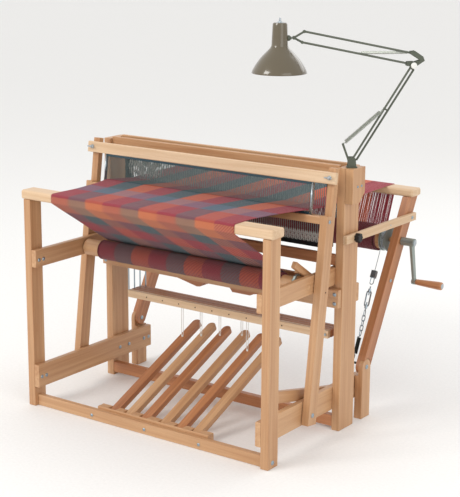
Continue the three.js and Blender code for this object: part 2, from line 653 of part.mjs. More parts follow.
function clothBeam() {
  const y = CLOTH_BEAM_Y;
  const z = CLOTH_BEAM_LEVEL;
  const left = -(RAIL_INNER - 3);
  const right = RATCHET_LEFT;
  const r = CLOTH_BEAM_RADIUS;
  const wood = turnedX([
    [-RAIL_OUTER, 0], [-RAIL_OUTER, AXLE_RADIUS], [left, AXLE_RADIUS], [left, r - EDGE],
    [left + EDGE, r], [right + 2, r], [right + 2, AXLE_RADIUS], [RAIL_OUTER, AXLE_RADIUS],
    [RAIL_OUTER, 0],
  ], y, z, 36);
  part('cloth_beam', join(wood, ratchetWheel()), WARM_WOOD);

  const half = WEB_FRONT_HALF + 6;
  const outer = CLOTH_ROLL_RADIUS;
  const inner = r + GAP;
  part('cloth_roll', turnedX([
    [-half, inner], [-half, outer - 2], [2 - half, outer], [half - 2, outer], [half, outer - 2],
    [half, inner], [-half, inner],
  ], y, z, 36), ROLLED_CLOTH);

  // The pawl's lever slopes up to the front from its pivot on the right rail's inner face.
  const pivotY = y + 53;
  const pivotZ = z + 18;
  const slope = rad(32.5);
  const leverEnd = -118;
  const x1 = RAIL_INNER - 1;
  const x0 = x1 - PAWL_THICK;
  const half2 = PAWL_DEPTH / 2;
  const lever = alongX(roundedRect(leverEnd, half2, -half2, half2, 3), x0, x1);
  const tooth = alongX(outline([[-58, -3], [-76, -14], [-74, -3]]), RATCHET_LEFT, x0 + 6, 0);
  const pawl = part('cloth_pawl', join(lever, tooth), WARM_WOOD);
  pawl.position.set(0, pivotY, pivotZ);
  pawl.rotation.x = -slope;
}

// ---- Beater ----------------------------------------------------------------------------------
// Drawn upright about its pivot, then leant back.
function beater() {
  const group = new THREE.Group();
  group.position.set(0, BEATER_PIVOT_Y, BEATER_PIVOT_Z);
  group.rotation.x = -rad(BEATER_LEAN);
  loom.add(group);

  const swordFront = BEATER_BACK - SWORD_DEPTH;
  const profile = outline([
    [-BEATER_FRONT, -BEATER_TOE], [BEATER_BACK, -BEATER_TOE], [BEATER_BACK, SWORD_TOP],
    [swordFront, SWORD_TOP], [swordFront, LEG_TOP], [-BEATER_FRONT, LEG_TOP],
  ]);
  const legInner = POST_INNER + 2;
  pair('beater_leg', (side) => {
    const [x0, x1] = span(side, legInner, legInner + BEATER_THICK);
    return alongX(profile, x0, x1);
  }, WARM_WOOD, group);

  const sillHalf = legInner - GAP;
  const grooveFront = REED_CENTRE - REED_THICK / 2 - GAP;
  const grooveBack = REED_CENTRE + REED_THICK / 2 + GAP;
  const sillTop = LEG_TOP - 3;
  const reedBase = sillTop - REED_GROOVE;
  const reedTop = HANDTREE_BASE + REED_GROOVE;
  const sill = roundedRect(-BEATER_FRONT, BEATER_BACK, sillTop - SILL_HEIGHT, sillTop, 3);
  const sillGroove = block(-REED_HALF - 4, REED_HALF + 4, grooveFront, grooveBack, reedBase - GAP, sillTop + 5);
  part('race_sill', cut(alongX(sill, -sillHalf, sillHalf), sillGroove), WARM_WOOD, group);

  const treeBack = swordFront - GAP;
  const treeFront = treeBack - HANDTREE_THICK;
  const treeTop = HANDTREE_BASE + HANDTREE_HEIGHT;
  const tree = roundedRect(treeFront, treeBack, HANDTREE_BASE, treeTop, 3);
  const treeGroove = block(-REED_HALF - 4, REED_HALF + 4, grooveFront, grooveBack, HANDTREE_BASE - 5, reedTop + GAP);
  part('handtree', cut(alongX(tree, -HANDTREE_HALF, HANDTREE_HALF), treeGroove), PALE_WOOD, group);

  const frame = roundedRect(-REED_HALF, REED_HALF, reedBase, reedTop, 2);
  const window = roundedRect(-REED_HALF + 7, REED_HALF - 7, reedBase + REED_BAND, reedTop - REED_BAND, 2);
  frame.holes.push(window);
  const reed = alongY(frame, REED_CENTRE - REED_THICK / 2, REED_CENTRE + REED_THICK / 2, 0);
  part('reed', reed, STEEL, group);
}

// ---- Shafts and lamms ------------------------------------------------------------------------
function harness() {
  for (let i = 0; i < 4; i += 1) {
    const top = SHAFT_BASE + SHAFT_HEIGHT;
    const frame = roundedRect(-SHAFT_HALF, SHAFT_HALF, SHAFT_BASE, top, 3);
    const side = SHAFT_HALF - SHAFT_SIDE;
    frame.holes.push(roundedRect(-side, side, SHAFT_BASE + SHAFT_BAR, top - SHAFT_BAR, 3));
    const front = SHAFT_FRONT + i * SHAFT_PITCH;
    part(`shaft_${i + 1}`, alongY(frame, front, front + SHAFT_THICK, 0), BLACK_STEEL);
  }
  for (let i = 0; i < 4; i += 1) {
    const front = LAMM_FRONT + i * LAMM_PITCH;
    const bar = roundedRect(front, front + LAMM_THICK, LAMM_BASE, LAMM_BASE + LAMM_HEIGHT);
    part(`lamm_${i + 1}`, alongX(bar, LAMM_LEFT, LAMM_RIGHT), i === 0 ? PALE_WOOD : RED_WOOD);
  }
}

// ---- Treadles --------------------------------------------------------------------------------
function treadleX(i) {
  const half = TREADLE_MID_GAP / 2;
  const offset = i < 3 ? (i - 2) * TREADLE_PITCH - half : (i - 3) * TREADLE_PITCH + half;
  return TREADLE_MIDDLE + offset;
}

function treadles() {
  const blockFront = FRONT_RAIL_HALF_DEPTH + GAP;
  const blockBack = blockFront + BLOCK_DEPTH;
  const x0 = treadleX(0) - BLOCK_END;
  const x1 = treadleX(5) + BLOCK_END;
  const body = alongX(roundedRect(blockFront, blockBack, BLOCK_BASE, BLOCK_TOP), x0, x1);
  const slots = [];
  for (let i = 0; i < 6; i += 1) {
    const half = TREADLE_WIDTH / 2 + BLOCK_CLEAR;
    const x = treadleX(i);
    slots.push(block(x - half, x + half, blockFront + BLOCK_SPINE, blockBack + 5, 0, BLOCK_TOP + 5));
  }
  part('treadle_block', cut(body, ...slots), WARM_WOOD);

  const half = TREADLE_WIDTH / 2;
  for (let i = 0; i < 6; i += 1) {
    const plan = new THREE.Shape();
    plan.moveTo(-half, -TREADLE_NOSE);
    plan.lineTo(half, -TREADLE_NOSE);
    plan.lineTo(half, TREADLE_REACH - half);
    plan.absarc(0, TREADLE_REACH - half, half, 0, Math.PI);
    const bar = alongZ(plan, -TREADLE_THICK / 2, TREADLE_THICK / 2, END_EDGE, 8);
    const mesh = part(`treadle_${i + 1}`, bar, i % 2 === 1 ? WARM_WOOD : RED_WOOD);
    mesh.position.set(treadleX(i), TREADLE_PIVOT_Y, TREADLE_PIVOT_Z);
    mesh.rotation.x = rad(TREADLE_SLOPE);
  }
}

// ---- Web and warp ----------------------------------------------------------------------------
// Straight stretches between turns round the beams' rounded edges.
function turn(y, z, radius, from, to, steps, half) {
  const points = [];
  for (let i = 0; i <= steps; i += 1) {
    const angle = rad(from + ((to - from) * i) / steps);
    points.push([y + radius * Math.cos(angle), z + radius * Math.sin(angle), half]);
  }
  return points;
}

// The straight stretch between two turns, each a centre, a radius, and 1 if the cloth turns left
// round it or -1 if right: the angle where it leaves the first and the point where it meets the next.
function taut([y1, z1, r1, side1], [y2, z2, r2, side2]) {
  const away = Math.hypot(y2 - y1, z2 - z1);
  const heading = Math.atan2(z2 - z1, y2 - y1) - Math.asin((side2 * r2 - side1 * r1) / away);
  const leaves = THREE.MathUtils.radToDeg(heading) - side1 * 90;
  const meets = [y2 + side2 * r2 * Math.sin(heading), z2 - side2 * r2 * Math.cos(heading)];
  return [leaves, meets];
}

function cloth() {
  const edgeRadius = BREAST_ROUND + WEB_LIFT;
  const front = BREAST_FRONT + BREAST_ROUND;
  const back = BREAST_FRONT + BREAST_DEPTH;
  const rollGap = WEB_THICK / 2 + 0.6;
  const half = WEB_FRONT_HALF;
  const lowerEdge = [front, BREAST_BASE + BREAST_ROUND, edgeRadius, 1];
  const clothMeets = CLOTH_ROLL_RADIUS + rollGap;
  const [leaves, onRoll] = taut(lowerEdge, [CLOTH_BEAM_Y, CLOTH_BEAM_LEVEL, clothMeets, -1]);
  const lower = turn(front, BREAST_BASE + BREAST_ROUND, edgeRadius, 180, 360 + leaves, 4, half);
  const drawIn = WEB_REED_HALF - half;
  part('web', strip([
    [FELL_Y, WEB_LEVEL, WEB_REED_HALF],
    [FELL_Y - 60, WEB_LEVEL + 1.2, half + drawIn * 0.62],
    [FELL_Y - 130, WEB_LEVEL + 2.8, half + drawIn * 0.3],
    [FELL_Y - 210, WEB_LEVEL + 4.6, half + drawIn * 0.1],
    [back - 4, BREAST_TOP + WEB_LIFT, half],
    ...turn(front, BREAST_TOP - BREAST_ROUND, edgeRadius, 90, 180, 6, half),
    ...lower,
    [...onRoll, half],
  ], WEB_THICK), WEB_CLOTH);

  const wide = WARP_BACK_HALF;
  const rearY = BACK_BEAM_BACK - BREAST_ROUND;
  const rearTop = BACK_BEAM_TOP - BREAST_ROUND;
  const rearBase = BACK_BEAM_BASE + BREAST_ROUND;
  const warpMeets = WARP_ROLL_RADIUS + rollGap;
  const [drops, onWarp] = taut(
    [rearY, rearBase, edgeRadius, -1],
    [WARP_BEAM_Y, WARP_BEAM_LEVEL, warpMeets, -1],
  );
  part('warp', strip([
    [FELL_Y + GAP + 0.2, WEB_LEVEL, WEB_REED_HALF],
    [SHAFT_FRONT + 2 * SHAFT_PITCH, HEDDLE_LEVEL, WARP_BACK_HALF + 4],
    [BACK_BEAM_FRONT + BREAST_ROUND, BACK_BEAM_TOP + WEB_LIFT, wide],
    ...turn(rearY, rearTop, edgeRadius, 90, 0, 5, wide),
    ...turn(rearY, rearBase, edgeRadius, 0, drops, 3, wide),
    [...onWarp, wide],
  ], WEB_THICK), WARP_YARN);
}

// ---- Lamp ------------------------------------------------------------------------------------
// Everything is drawn in the arms' plane: local x across, z up, from the yoke's seat.
function lamp() {
  const group = new THREE.Group();
  group.position.set(HALF_WIDTH + LAMP_OUT, CASTLE_FRONT + LAMP_INSET, CASTLE_HEIGHT + GAP);
  group.rotation.z = rad(LAMP_TURN);
  loom.add(group);

  const halfBar = ARM_BAR / 2;
  const cheek = (points, y0, y1) => alongY(outline(points), y0, y1, 0.6);
  const pivot = [0, LAMP_PIVOT];
  const elbow = [pivot[0] + LOWER_ARM[0], pivot[1] + LOWER_ARM[1]];
  const head = [elbow[0] + UPPER_ARM[0], elbow[1] + UPPER_ARM[1]];

  const seat = alongZ(roundedRect(-17, 17, -14, 14, 4), 0, 4, 0.6);
  const cheekShape = [[-14, 1], [14, 1], [12, 20], [7, 34], [-12, 34], [-29, 80], [-35, 76], [-16, 26]];
  const near = cheek(cheekShape, -11, -8.5);
  const far = cheek([[-14, 1], [14, 1], [12, 20], [7, 34], [-10, 34]], 8.5, 11);
  const tab = rod([-30, -11, 75], [-30, 4, 75], 3);
  const pin = rod([0, -12, LAMP_PIVOT], [0, 12, LAMP_PIVOT], 2.6);
  part('lamp_yoke', join(seat, near, far, tab, pin), LAMP_STEEL, group);

  const bar = (from, to, y) => rod([from[0], y, from[1]], [to[0], y, to[1]], halfBar, 8);
  const unit = Math.hypot(...LOWER_ARM);
  const along = [LOWER_ARM[0] / unit, LOWER_ARM[1] / unit];
  const across = [along[1], -along[0]];
  const at = (t, offset) => [
    pivot[0] + along[0] * t + across[0] * offset,
    pivot[1] + along[1] * t + across[1] * offset,
  ];
  const bore = rod([0, -8, LAMP_PIVOT], [0, 8, LAMP_PIVOT], 3.2);
  const eye = rod([0, -7, LAMP_PIVOT], [0, 7, LAMP_PIVOT], 7, 16);
  const midPin = at(0.54 * unit, 0);
  const lower = join(
    bar(at(0, 0), at(unit - 10, 0), -3.5),
    bar(at(6, ARM_PAIR), at(unit - 10, ARM_PAIR), 3.5),
    eye,
    rod([at(6, 0)[0], 3.5, at(6, 0)[1]], [at(6, ARM_PAIR)[0], 3.5, at(6, ARM_PAIR)[1]], 3),
    rod([midPin[0], -9, midPin[1]], [midPin[0], 6, midPin[1]], 3),
    rod([at(unit * 0.54, 0)[0], 3.5, at(unit * 0.54, 0)[1]],
      [at(unit * 0.54, ARM_PAIR)[0], 3.5, at(unit * 0.54, ARM_PAIR)[1]], 2.6),
    rod([elbow[0] - along[0] * 12, -3.5, elbow[1] - along[1] * 12],
      [elbow[0] - along[0] * 12 + across[0] * ARM_PAIR, 3.5, elbow[1] - along[1] * 12 + across[1] * ARM_PAIR], 3),
    rod([elbow[0], -7, elbow[1]], [elbow[0], 7, elbow[1]], 7, 16),
    bar(at(unit - 20, 0), [elbow[0], elbow[1]], -3.5),
  );
  const elbowBore = rod([elbow[0], -8, elbow[1]], [elbow[0], 8, elbow[1]], 3.2);
  part('lamp_lower_arm', cut(lower, bore, elbowBore), LAMP_STEEL, group);

  const reach = Math.hypot(...UPPER_ARM);
  const out = [UPPER_ARM[0] / reach, UPPER_ARM[1] / reach];
  const up = [-out[1], out[0]].map((v) => -v);
  const upper = (t, offset) => [
    elbow[0] + out[0] * t + up[0] * offset,
    elbow[1] + out[1] * t + up[1] * offset,
  ];
  const [ex, ez] = elbow;
  const bend = [[ex - 8, ez - 8], [ex + 10, ez - 7], [ex + 38, ez + 12], [ex + 33, ez + 25],
    [ex + 6, ez + 43], [ex - 9, ez + 41], [ex - 5, ez + 31], [ex + 22, ez + 14], [ex + 4, ez + 8]];
  const plates = [cheek(bend, -10.5, -8.5), cheek(bend, 8.5, 10.5)];
  const elbowPin = rod([ex, -11, ez], [ex, 11, ez], 2.6);
  const upperPin = upper(4, UPPER_PAIR);
  const tip = (t, offset) => upper(reach + t, offset);
  const tiltPin = [head[0] + HEAD_PIN[0], head[1] + HEAD_PIN[1]];
  const parts = [
    ...plates,
    elbowPin,
    rod([upperPin[0], -11, upperPin[1]], [upperPin[0], 11, upperPin[1]], 3.4),
    bar(upperPin, tip(0, UPPER_PAIR), 0),
    rod([ex + 20, -11, ez + 8], [ex + 20, 11, ez + 8], 3),
    bar([ex - 14, ez + 2.7], tip(0, 0), 0),
    rod([tip(0, 0)[0], -5, tip(0, 0)[1]], [tip(0, 0)[0], 5, tip(0, 0)[1]], 5, 14),
    rod([tip(0, UPPER_PAIR)[0], -5, tip(0, UPPER_PAIR)[1]],
      [tip(0, UPPER_PAIR)[0], 5, tip(0, UPPER_PAIR)[1]], 5, 14),
    bar(tip(0, 0), tiltPin, 0),
    bar(tip(0, UPPER_PAIR), tiltPin, 0),
    rod([ex - 14, -9.5, ez + 2.7], [ex - 14, 9.5, ez + 2.7], 3),
    cheek([[ex - 20, ez - 4], [ex + 2, ez - 6], [ex + 4, ez + 10], [ex - 18, ez + 9]], -10.5, -8.5),
    cheek([[ex - 20, ez - 4], [ex + 2, ez - 6], [ex + 4, ez + 10], [ex - 18, ez + 9]], 8.5, 10.5),
    rod([tiltPin[0], -4, tiltPin[1]], [tiltPin[0], 4, tiltPin[1]], 6, 14),
  ];
  part('lamp_upper_arm', join(...parts), LAMP_STEEL, group);

  const middle = head[0] - SHADE_OFFSET;
  const base = head[1] - SHADE_DROP;
  const rings = [[20.5, 156], [22.5, 153], [25.5, 86], [29.5, 78], [44, 63], [61, 45], [74, 27], [SHADE_RIM, 0]];
  const button = [[0, 171], [3, 171], [3.5, 160], [15, 157.5], [16, 156]];
  const outer = [...button, ...rings];
  const inner = [...rings].reverse().map(([r, h], i) => [r - SHADE_WALL, i === 0 ? h : h - 1]);
  const walls = [...outer, ...inner.slice(0, -2), [20.5, 152], [0, 152]];
  const profile = walls.reverse().map(([r, h]) => new THREE.Vector2(Math.max(r, 0), h));
  const shell = welded(new THREE.LatheGeometry(profile, 36)).rotateX(Math.PI / 2);
  shell.translate(middle, 0, base);
  const stemLevel = head[1] + HEAD_PIN[1] - 1;
  const stem = rod([head[0] + HEAD_PIN[0] - 7, 0, stemLevel], [middle + 23.5, 0, stemLevel], 4, 12);
  part('lamp_shade', join(shell, stem), LAMP_ENAMEL, group);
}

sideFrames();
castle();
foldingBack();
warpBeam();
brake();
clothBeam();
beater();
harness();
treadles();
cloth();
lamp();

export default loom;
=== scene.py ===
import json
import math
import random

import bpy
from mathutils import Matrix, Vector


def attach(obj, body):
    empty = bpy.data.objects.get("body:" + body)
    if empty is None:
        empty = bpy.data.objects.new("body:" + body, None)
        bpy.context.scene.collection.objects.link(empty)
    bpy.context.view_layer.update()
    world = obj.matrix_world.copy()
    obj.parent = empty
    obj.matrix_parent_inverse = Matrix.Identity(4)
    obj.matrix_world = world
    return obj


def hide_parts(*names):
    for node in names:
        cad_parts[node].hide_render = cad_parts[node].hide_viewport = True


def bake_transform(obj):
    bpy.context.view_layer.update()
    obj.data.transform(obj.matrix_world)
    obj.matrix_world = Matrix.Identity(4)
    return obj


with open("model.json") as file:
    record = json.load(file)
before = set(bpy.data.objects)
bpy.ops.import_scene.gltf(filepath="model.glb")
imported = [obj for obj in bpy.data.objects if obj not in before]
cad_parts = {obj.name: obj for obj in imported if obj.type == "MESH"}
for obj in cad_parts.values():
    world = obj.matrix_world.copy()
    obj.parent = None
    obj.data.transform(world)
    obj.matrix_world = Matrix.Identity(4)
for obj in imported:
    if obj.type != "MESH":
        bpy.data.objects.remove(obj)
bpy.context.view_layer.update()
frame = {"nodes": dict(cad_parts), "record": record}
random.seed(7)

# ---- Camera ----------------------------------------------------------------------------------
cam_data = bpy.data.cameras.new("camera")
cam = bpy.data.objects.new("camera", cam_data)
bpy.context.collection.objects.link(cam)
bpy.context.scene.camera = cam
bpy.context.scene.view_settings.view_transform = "Standard"
cam_data.lens = 100.9
cam_data.clip_end = 60
turn = Matrix.Rotation(math.radians(35.57), 4, "Z") @ Matrix.Rotation(math.radians(76.32), 4, "X")
cam.matrix_world = (
    Matrix.Translation((2.7375, -3.3569, 1.6822)) @ turn @ Matrix.Rotation(math.radians(0.375), 4, "Z")
)


# ---- Materials -------------------------------------------------------------------------------
def srgb(r, g, b):
    """A colour as it looks on screen, in the linear values that shaders take."""
    def linear(c):
        return c / 12.92 if c <= 0.04045 else ((c + 0.055) / 1.055) ** 2.4
    return (linear(r), linear(g), linear(b), 1)


class Graph:
    """A material's node tree, written from left to right."""

    def __init__(self, name):
        self.material = bpy.data.materials.new(name)
        self.material.use_nodes = True
        self.nodes = self.material.node_tree.nodes
        self.links = self.material.node_tree.links
        self.shader = self.nodes["Principled BSDF"]

    def feed(self, socket, value):
        if isinstance(value, bpy.types.NodeSocket):
            self.links.new(value, socket)
        else:
            socket.default_value = value

    def node(self, kind, inputs=None, **settings):
        node = self.nodes.new(kind)
        for key, value in settings.items():
            setattr(node, key, value)
        for key, value in (inputs or {}).items():
            self.feed(node.inputs[key], value)
        return node

    def math(self, operation, a, b=0.0, c=0.0):
        node = self.node("ShaderNodeMath", operation=operation)
        for socket, value in zip(node.inputs, (a, b, c)):
            self.feed(socket, value)
        return node.outputs[0]

    def mix(self, factor, a, b, blend="MIX"):
        node = self.node("ShaderNodeMix", data_type="RGBA", blend_type=blend)
        self.feed(node.inputs["Factor"], factor)
        self.feed(node.inputs["A"], a)
        self.feed(node.inputs["B"], b)
        return node.outputs["Result"]

    def ramp(self, value, stops, interpolation="LINEAR"):
        node = self.node("ShaderNodeValToRGB", {"Fac": value})
        ramp = node.color_ramp
        ramp.interpolation = interpolation
        while len(ramp.elements) < len(stops):
            ramp.elements.new(1)
        for element, (position, colour) in zip(ramp.elements, stops):
            element.position = position
            element.color = colour
        return node.outputs["Color"]

    def noise(self, vector, scale, detail=3.0, rough=0.5, distortion=0.0):
        inputs = {"Vector": vector, "Scale": scale, "Detail": detail}
        inputs.update({"Roughness": rough, "Distortion": distortion})
        return self.node("ShaderNodeTexNoise", inputs).outputs["Fac"]

    def place(self):
        return self.node("ShaderNodeTexCoord").outputs["Object"]

    def bump(self, height, strength, distance=0.001):
        inputs = {"Height": height, "Strength": strength, "Distance": distance}
        node = self.node("ShaderNodeBump", inputs)
        self.links.new(node.outputs[0], self.shader.inputs["Normal"])

    def finish(self, colour, roughness, metallic=0.0, **more):
        self.feed(self.shader.inputs["Base Color"], colour)
        self.feed(self.shader.inputs["Roughness"], roughness)
        self.shader.inputs["Metallic"].default_value = metallic
        for key, value in more.items():
            self.feed(self.shader.inputs[key.replace("_", " ")], value)
        return self.material


def darker(colour, share):
    return tuple(c * share for c in colour[:3]) + (1,)


# Each wood is its light colour and its dark one.
PALE = (srgb(0.87, 0.76, 0.63), srgb(0.77, 0.63, 0.48))
WARM = (srgb(0.81, 0.65, 0.49), srgb(0.69, 0.50, 0.34))
RED = (srgb(0.76, 0.53, 0.36), srgb(0.61, 0.38, 0.23))
WOODS = {"pale_wood": PALE, "warm_wood": WARM, "red_wood": RED}


def wood(name, colours, along, tilt=0.0):
    """Beech: soft streaks and short dark flecks that run along the board."""
    light, dark = colours
    g = Graph(name)
    offset = Vector((random.random(), random.random(), random.random())) * 7
    turned = g.node("ShaderNodeVectorRotate", {"Vector": g.place(), "Angle": -math.radians(tilt)},
                    rotation_type="X_AXIS").outputs[0]
    stretch = [70.0, 70.0, 70.0]
    stretch["XYZ".index(along)] = 2.2
    board = g.node("ShaderNodeMapping", {"Vector": turned, "Location": offset, "Scale": stretch}).outputs[0]
    fleck = [900.0, 900.0, 900.0]
    fleck["XYZ".index(along)] = 190.0
    close = g.node("ShaderNodeMapping", {"Vector": turned, "Location": offset, "Scale": fleck}).outputs[0]
    streaks = g.noise(board, 1.0, 5.0, 0.55, 0.6)
    wide = g.noise(board, 0.14, 2.0, 0.5, 0.8)
    flecks = g.noise(close, 1.0, 2.0, 0.6)
    grain = g.math("MULTIPLY_ADD", streaks, 0.6, g.math("MULTIPLY", wide, 0.4))
    between = tuple((a + b) / 2 for a, b in zip(light, dark))
    tone = g.ramp(grain, [(0.34, dark), (0.50, between), (0.66, light)])
    pores = g.ramp(flecks, [(0.60, (0, 0, 0, 1)), (0.72, (1, 1, 1, 1))])
    spotted = g.mix(g.math("MULTIPLY", pores, 0.34), tone, darker(dark, 0.55))
    g.bump(g.math("MULTIPLY_ADD", streaks, 0.5, g.math("MULTIPLY", flecks, 0.5)), 0.12, 0.0006)
    gloss = g.math("MULTIPLY_ADD", streaks, 0.22, 0.34)
    return g.finish(spotted, gloss, Coat_Weight=0.12, Coat_Roughness=0.3)


def hard_look(name, colour, rough, metallic=1.0, scratch=0.12, grain=260.0, **more):
    """A hard finish, such as metal, paint, enamel or plastic, with fine uneven wear."""
    g = Graph(name)
    place = g.place()
    fine = g.noise(place, grain, 3.0, 0.6)
    broad = g.noise(place, grain / 9, 3.0, 0.6)
    tint = g.mix(g.math("MULTIPLY", broad, 0.35), colour, darker(colour, 0.6))
    roughness = g.math("MULTIPLY_ADD", fine, scratch, rough - scratch / 2)
    g.bump(fine, 0.06, 0.0004)
    return g.finish(tint, roughness, metallic, **more)


steel = hard_look("bright_steel", srgb(0.74, 0.77, 0.79), 0.28)
zinc = hard_look("zinc", srgb(0.66, 0.72, 0.76), 0.36)
drum_grey = hard_look("cast_grey", srgb(0.62, 0.66, 0.64), 0.40, 0.75)
spring_grey = hard_look("dark_spring", srgb(0.24, 0.27, 0.27), 0.4, 0.8)
black_paint = hard_look("black_paint", srgb(0.08, 0.10, 0.10), 0.42, 0.0, 0.2)
black_plastic = hard_look("black_plastic", srgb(0.05, 0.05, 0.055), 0.5, 0.0, 0.2, 400)
enamel = hard_look("lamp_enamel", srgb(0.37, 0.33, 0.25), 0.2, 0.0, 0.08, 90,
                   Coat_Weight=0.6, Coat_Roughness=0.08)
arm_paint = hard_look("lamp_arm_paint", srgb(0.34, 0.36, 0.31), 0.34, 0.25, 0.15, 300)
white_inside = hard_look("lamp_lining", srgb(0.90, 0.89, 0.84), 0.4, 0.0, 0.1, 120)
white_plastic = hard_look("white_knob", srgb(0.92, 0.92, 0.90), 0.35, 0.0, 0.1)
pitch_band = hard_look("reed_band", srgb(0.16, 0.27, 0.31), 0.6, 0.0, 0.2)
dent_steel = hard_look("reed_dents", srgb(0.46, 0.54, 0.54), 0.4, 0.5, 0.15)
# Painted shade: a dark brown that stands for the inside of holes, where shade falls.
hole_shade = hard_look("bored_hole_painted_shade", srgb(0.16, 0.09, 0.05), 0.8, 0.0, 0.1)


def cord_look(name, colour, twist=900.0):
    """Plied yarn or cord, with a little fuzz, and painted shade along the grooves between its plies."""
    g = Graph(name)
    place = g.place()
    ply = g.node("ShaderNodeTexWave", {"Vector": place, "Scale": twist / 6, "Distortion": 1.0},
                 bands_direction="DIAGONAL").outputs["Fac"]
    fuzz = g.noise(place, twist, 3.0)
    # Painted shade: the colour darkens along the ply grooves.
    tone = g.mix(g.math("MULTIPLY", ply, 0.3), colour, darker(colour, 0.55))
    g.bump(g.math("ADD", ply, fuzz), 0.4, 0.0005)
    return g.finish(tone, 0.85, Sheen_Weight=0.3)


CRIMSON = srgb(0.68, 0.17, 0.25)
ORANGE = srgb(0.86, 0.40, 0.24)
TEAL = srgb(0.25, 0.37, 0.41)
BLUE = srgb(0.36, 0.48, 0.60)
CREAM = srgb(0.90, 0.58, 0.36)
white_cord = cord_look("white_cord", srgb(0.90, 0.90, 0.88))
grey_heddle = cord_look("heddle_wire", srgb(0.60, 0.67, 0.65))
YARNS = [
    cord_look("yarn_crimson", CRIMSON),
    cord_look("yarn_teal", TEAL),
    cord_look("yarn_orange", ORANGE),
]


CLOTH_REACH = 0.8  # metres of cloth that the weft's colour ramps span


def woven(name, stripes, bands, repeat=0.2232, yarn=0.0032, depth=0.8):
    """Cloth in warp stripes (UV x) and weft bands (UV y), both in metres.

    A band is (start, weft colour, share of weft that shows, contrast of its diagonals).
    """
    g = Graph(name)
    uv = g.node("ShaderNodeUVMap", uv_map="cloth").outputs[0]
    parts = g.node("ShaderNodeSeparateXYZ", {"Vector": uv})
    u, v = parts.outputs[0], parts.outputs[1]
    wobble = g.noise(uv, 45.0, 3.0)
    across = g.math("ADD", u, g.math("MULTIPLY_ADD", wobble, 0.003, -0.0015))
    length = g.math("ADD", v, g.math("MULTIPLY_ADD", wobble, 0.005, -0.0025))
    stripe = g.ramp(g.math("FRACT", g.math("DIVIDE", across, repeat)), stripes, "CONSTANT")
    place = g.math("DIVIDE", length, CLOTH_REACH)
    grey = [[(b[0] / CLOTH_REACH, (b[k], b[k], b[k], 1)) for b in bands] for k in (2, 3)]
    weft = g.ramp(place, [(b[0] / CLOTH_REACH, b[1]) for b in bands], "CONSTANT")
    share, contrast = (g.ramp(place, stops, "CONSTANT") for stops in grey)
    pick = g.math("DIVIDE", v, yarn)
    end = g.math("DIVIDE", u, yarn)
    slant = g.math("FRACT", g.math("MULTIPLY", g.math("ADD", pick, end), 0.25))
    over = g.math("SUBTRACT", g.math("GREATER_THAN", slant, 0.5), 0.5)
    factor = g.math("ADD", share, g.math("MULTIPLY", over, contrast))
    ribs = g.math("MULTIPLY", g.math("SINE", g.math("MULTIPLY", pick, math.tau)),
                  g.math("SINE", g.math("MULTIPLY", end, math.tau)))
    shown = g.mix(factor, stripe, weft)
    valley = g.math("MULTIPLY_ADD", g.math("ABSOLUTE", ribs), 0.30, 0.78)
    shade = g.node("ShaderNodeCombineColor", {"Red": valley, "Green": valley, "Blue": valley}).outputs[0]
    lit = g.mix(1.0, shown, shade, "MULTIPLY")
    fuzz = g.math("MULTIPLY", g.noise(uv, 700.0, 3.0, 0.7), 0.30)
    mottled = g.mix(fuzz, lit, srgb(0.34, 0.20, 0.20))
    g.bump(g.math("ADD", ribs, g.math("MULTIPLY", over, 1.2)), depth, 0.0008)
    return g.finish(mottled, 0.88, Sheen_Weight=0.15, Sheen_Roughness=0.5)


def thirds(first, second, third):
    """Three equal stripes, as a ramp's stops."""
    return [(0.0, first), (1 / 3, second), (2 / 3, third)]


WARP_STRIPES = thirds(CRIMSON, TEAL, ORANGE)
# The rolled cloth's stripes: the web's crimson and orange made darker, as painted shade of the roll under the
# web, and a dark grey.
ROLL_STRIPES_IN_SHADE = thirds(srgb(0.52, 0.12, 0.18), srgb(0.34, 0.30, 0.31), srgb(0.68, 0.30, 0.19))


# ---- Mesh helpers ----------------------------------------------------------------------------
def mesh_object(name, vertices, faces, material, smooth=False):
    mesh = bpy.data.meshes.new(name)
    mesh.from_pydata([tuple(v) for v in vertices], [], faces)
    mesh.update()
    thing = bpy.data.objects.new(name, mesh)
    bpy.context.collection.objects.link(thing)
    for look in material if isinstance(material, list) else [material]:
        mesh.materials.append(look)
    if smooth:
        for polygon in mesh.polygons:
            polygon.use_smooth = True
    return thing


def merged(pieces):
    """One vertex and face list from several."""
    vertices, faces = [], []
    for more, quads in pieces:
        base = len(vertices)
        vertices += more
        faces += [tuple(base + i for i in face) for face in quads]
    return vertices, faces


def spoke(side, other, angle):
    """A unit vector at an angle round an axis, from two directions across it."""
    return side * math.cos(angle) + other * math.sin(angle)


def lathe(profile, origin, axis, segments=32):
    """A turned shape: profile is (along, radius) from end to end."""
    axis = Vector(axis).normalized()
    side = axis.orthogonal().normalized()
    other = axis.cross(side)
    origin = Vector(origin)
    vertices, faces = [], []
    for along, radius in profile:
        for k in range(segments):
            angle = math.tau * k / segments
            vertices.append(origin + axis * along + spoke(side, other, angle) * radius)
    for i in range(len(profile) - 1):
        for k in range(segments):
            a = i * segments + k
            b = i * segments + (k + 1) % segments
            faces.append((a, b, b + segments, a + segments))
    faces.append(tuple(range(segments - 1, -1, -1)))
    last = (len(profile) - 1) * segments
    faces.append(tuple(range(last, last + segments)))
    return vertices, faces


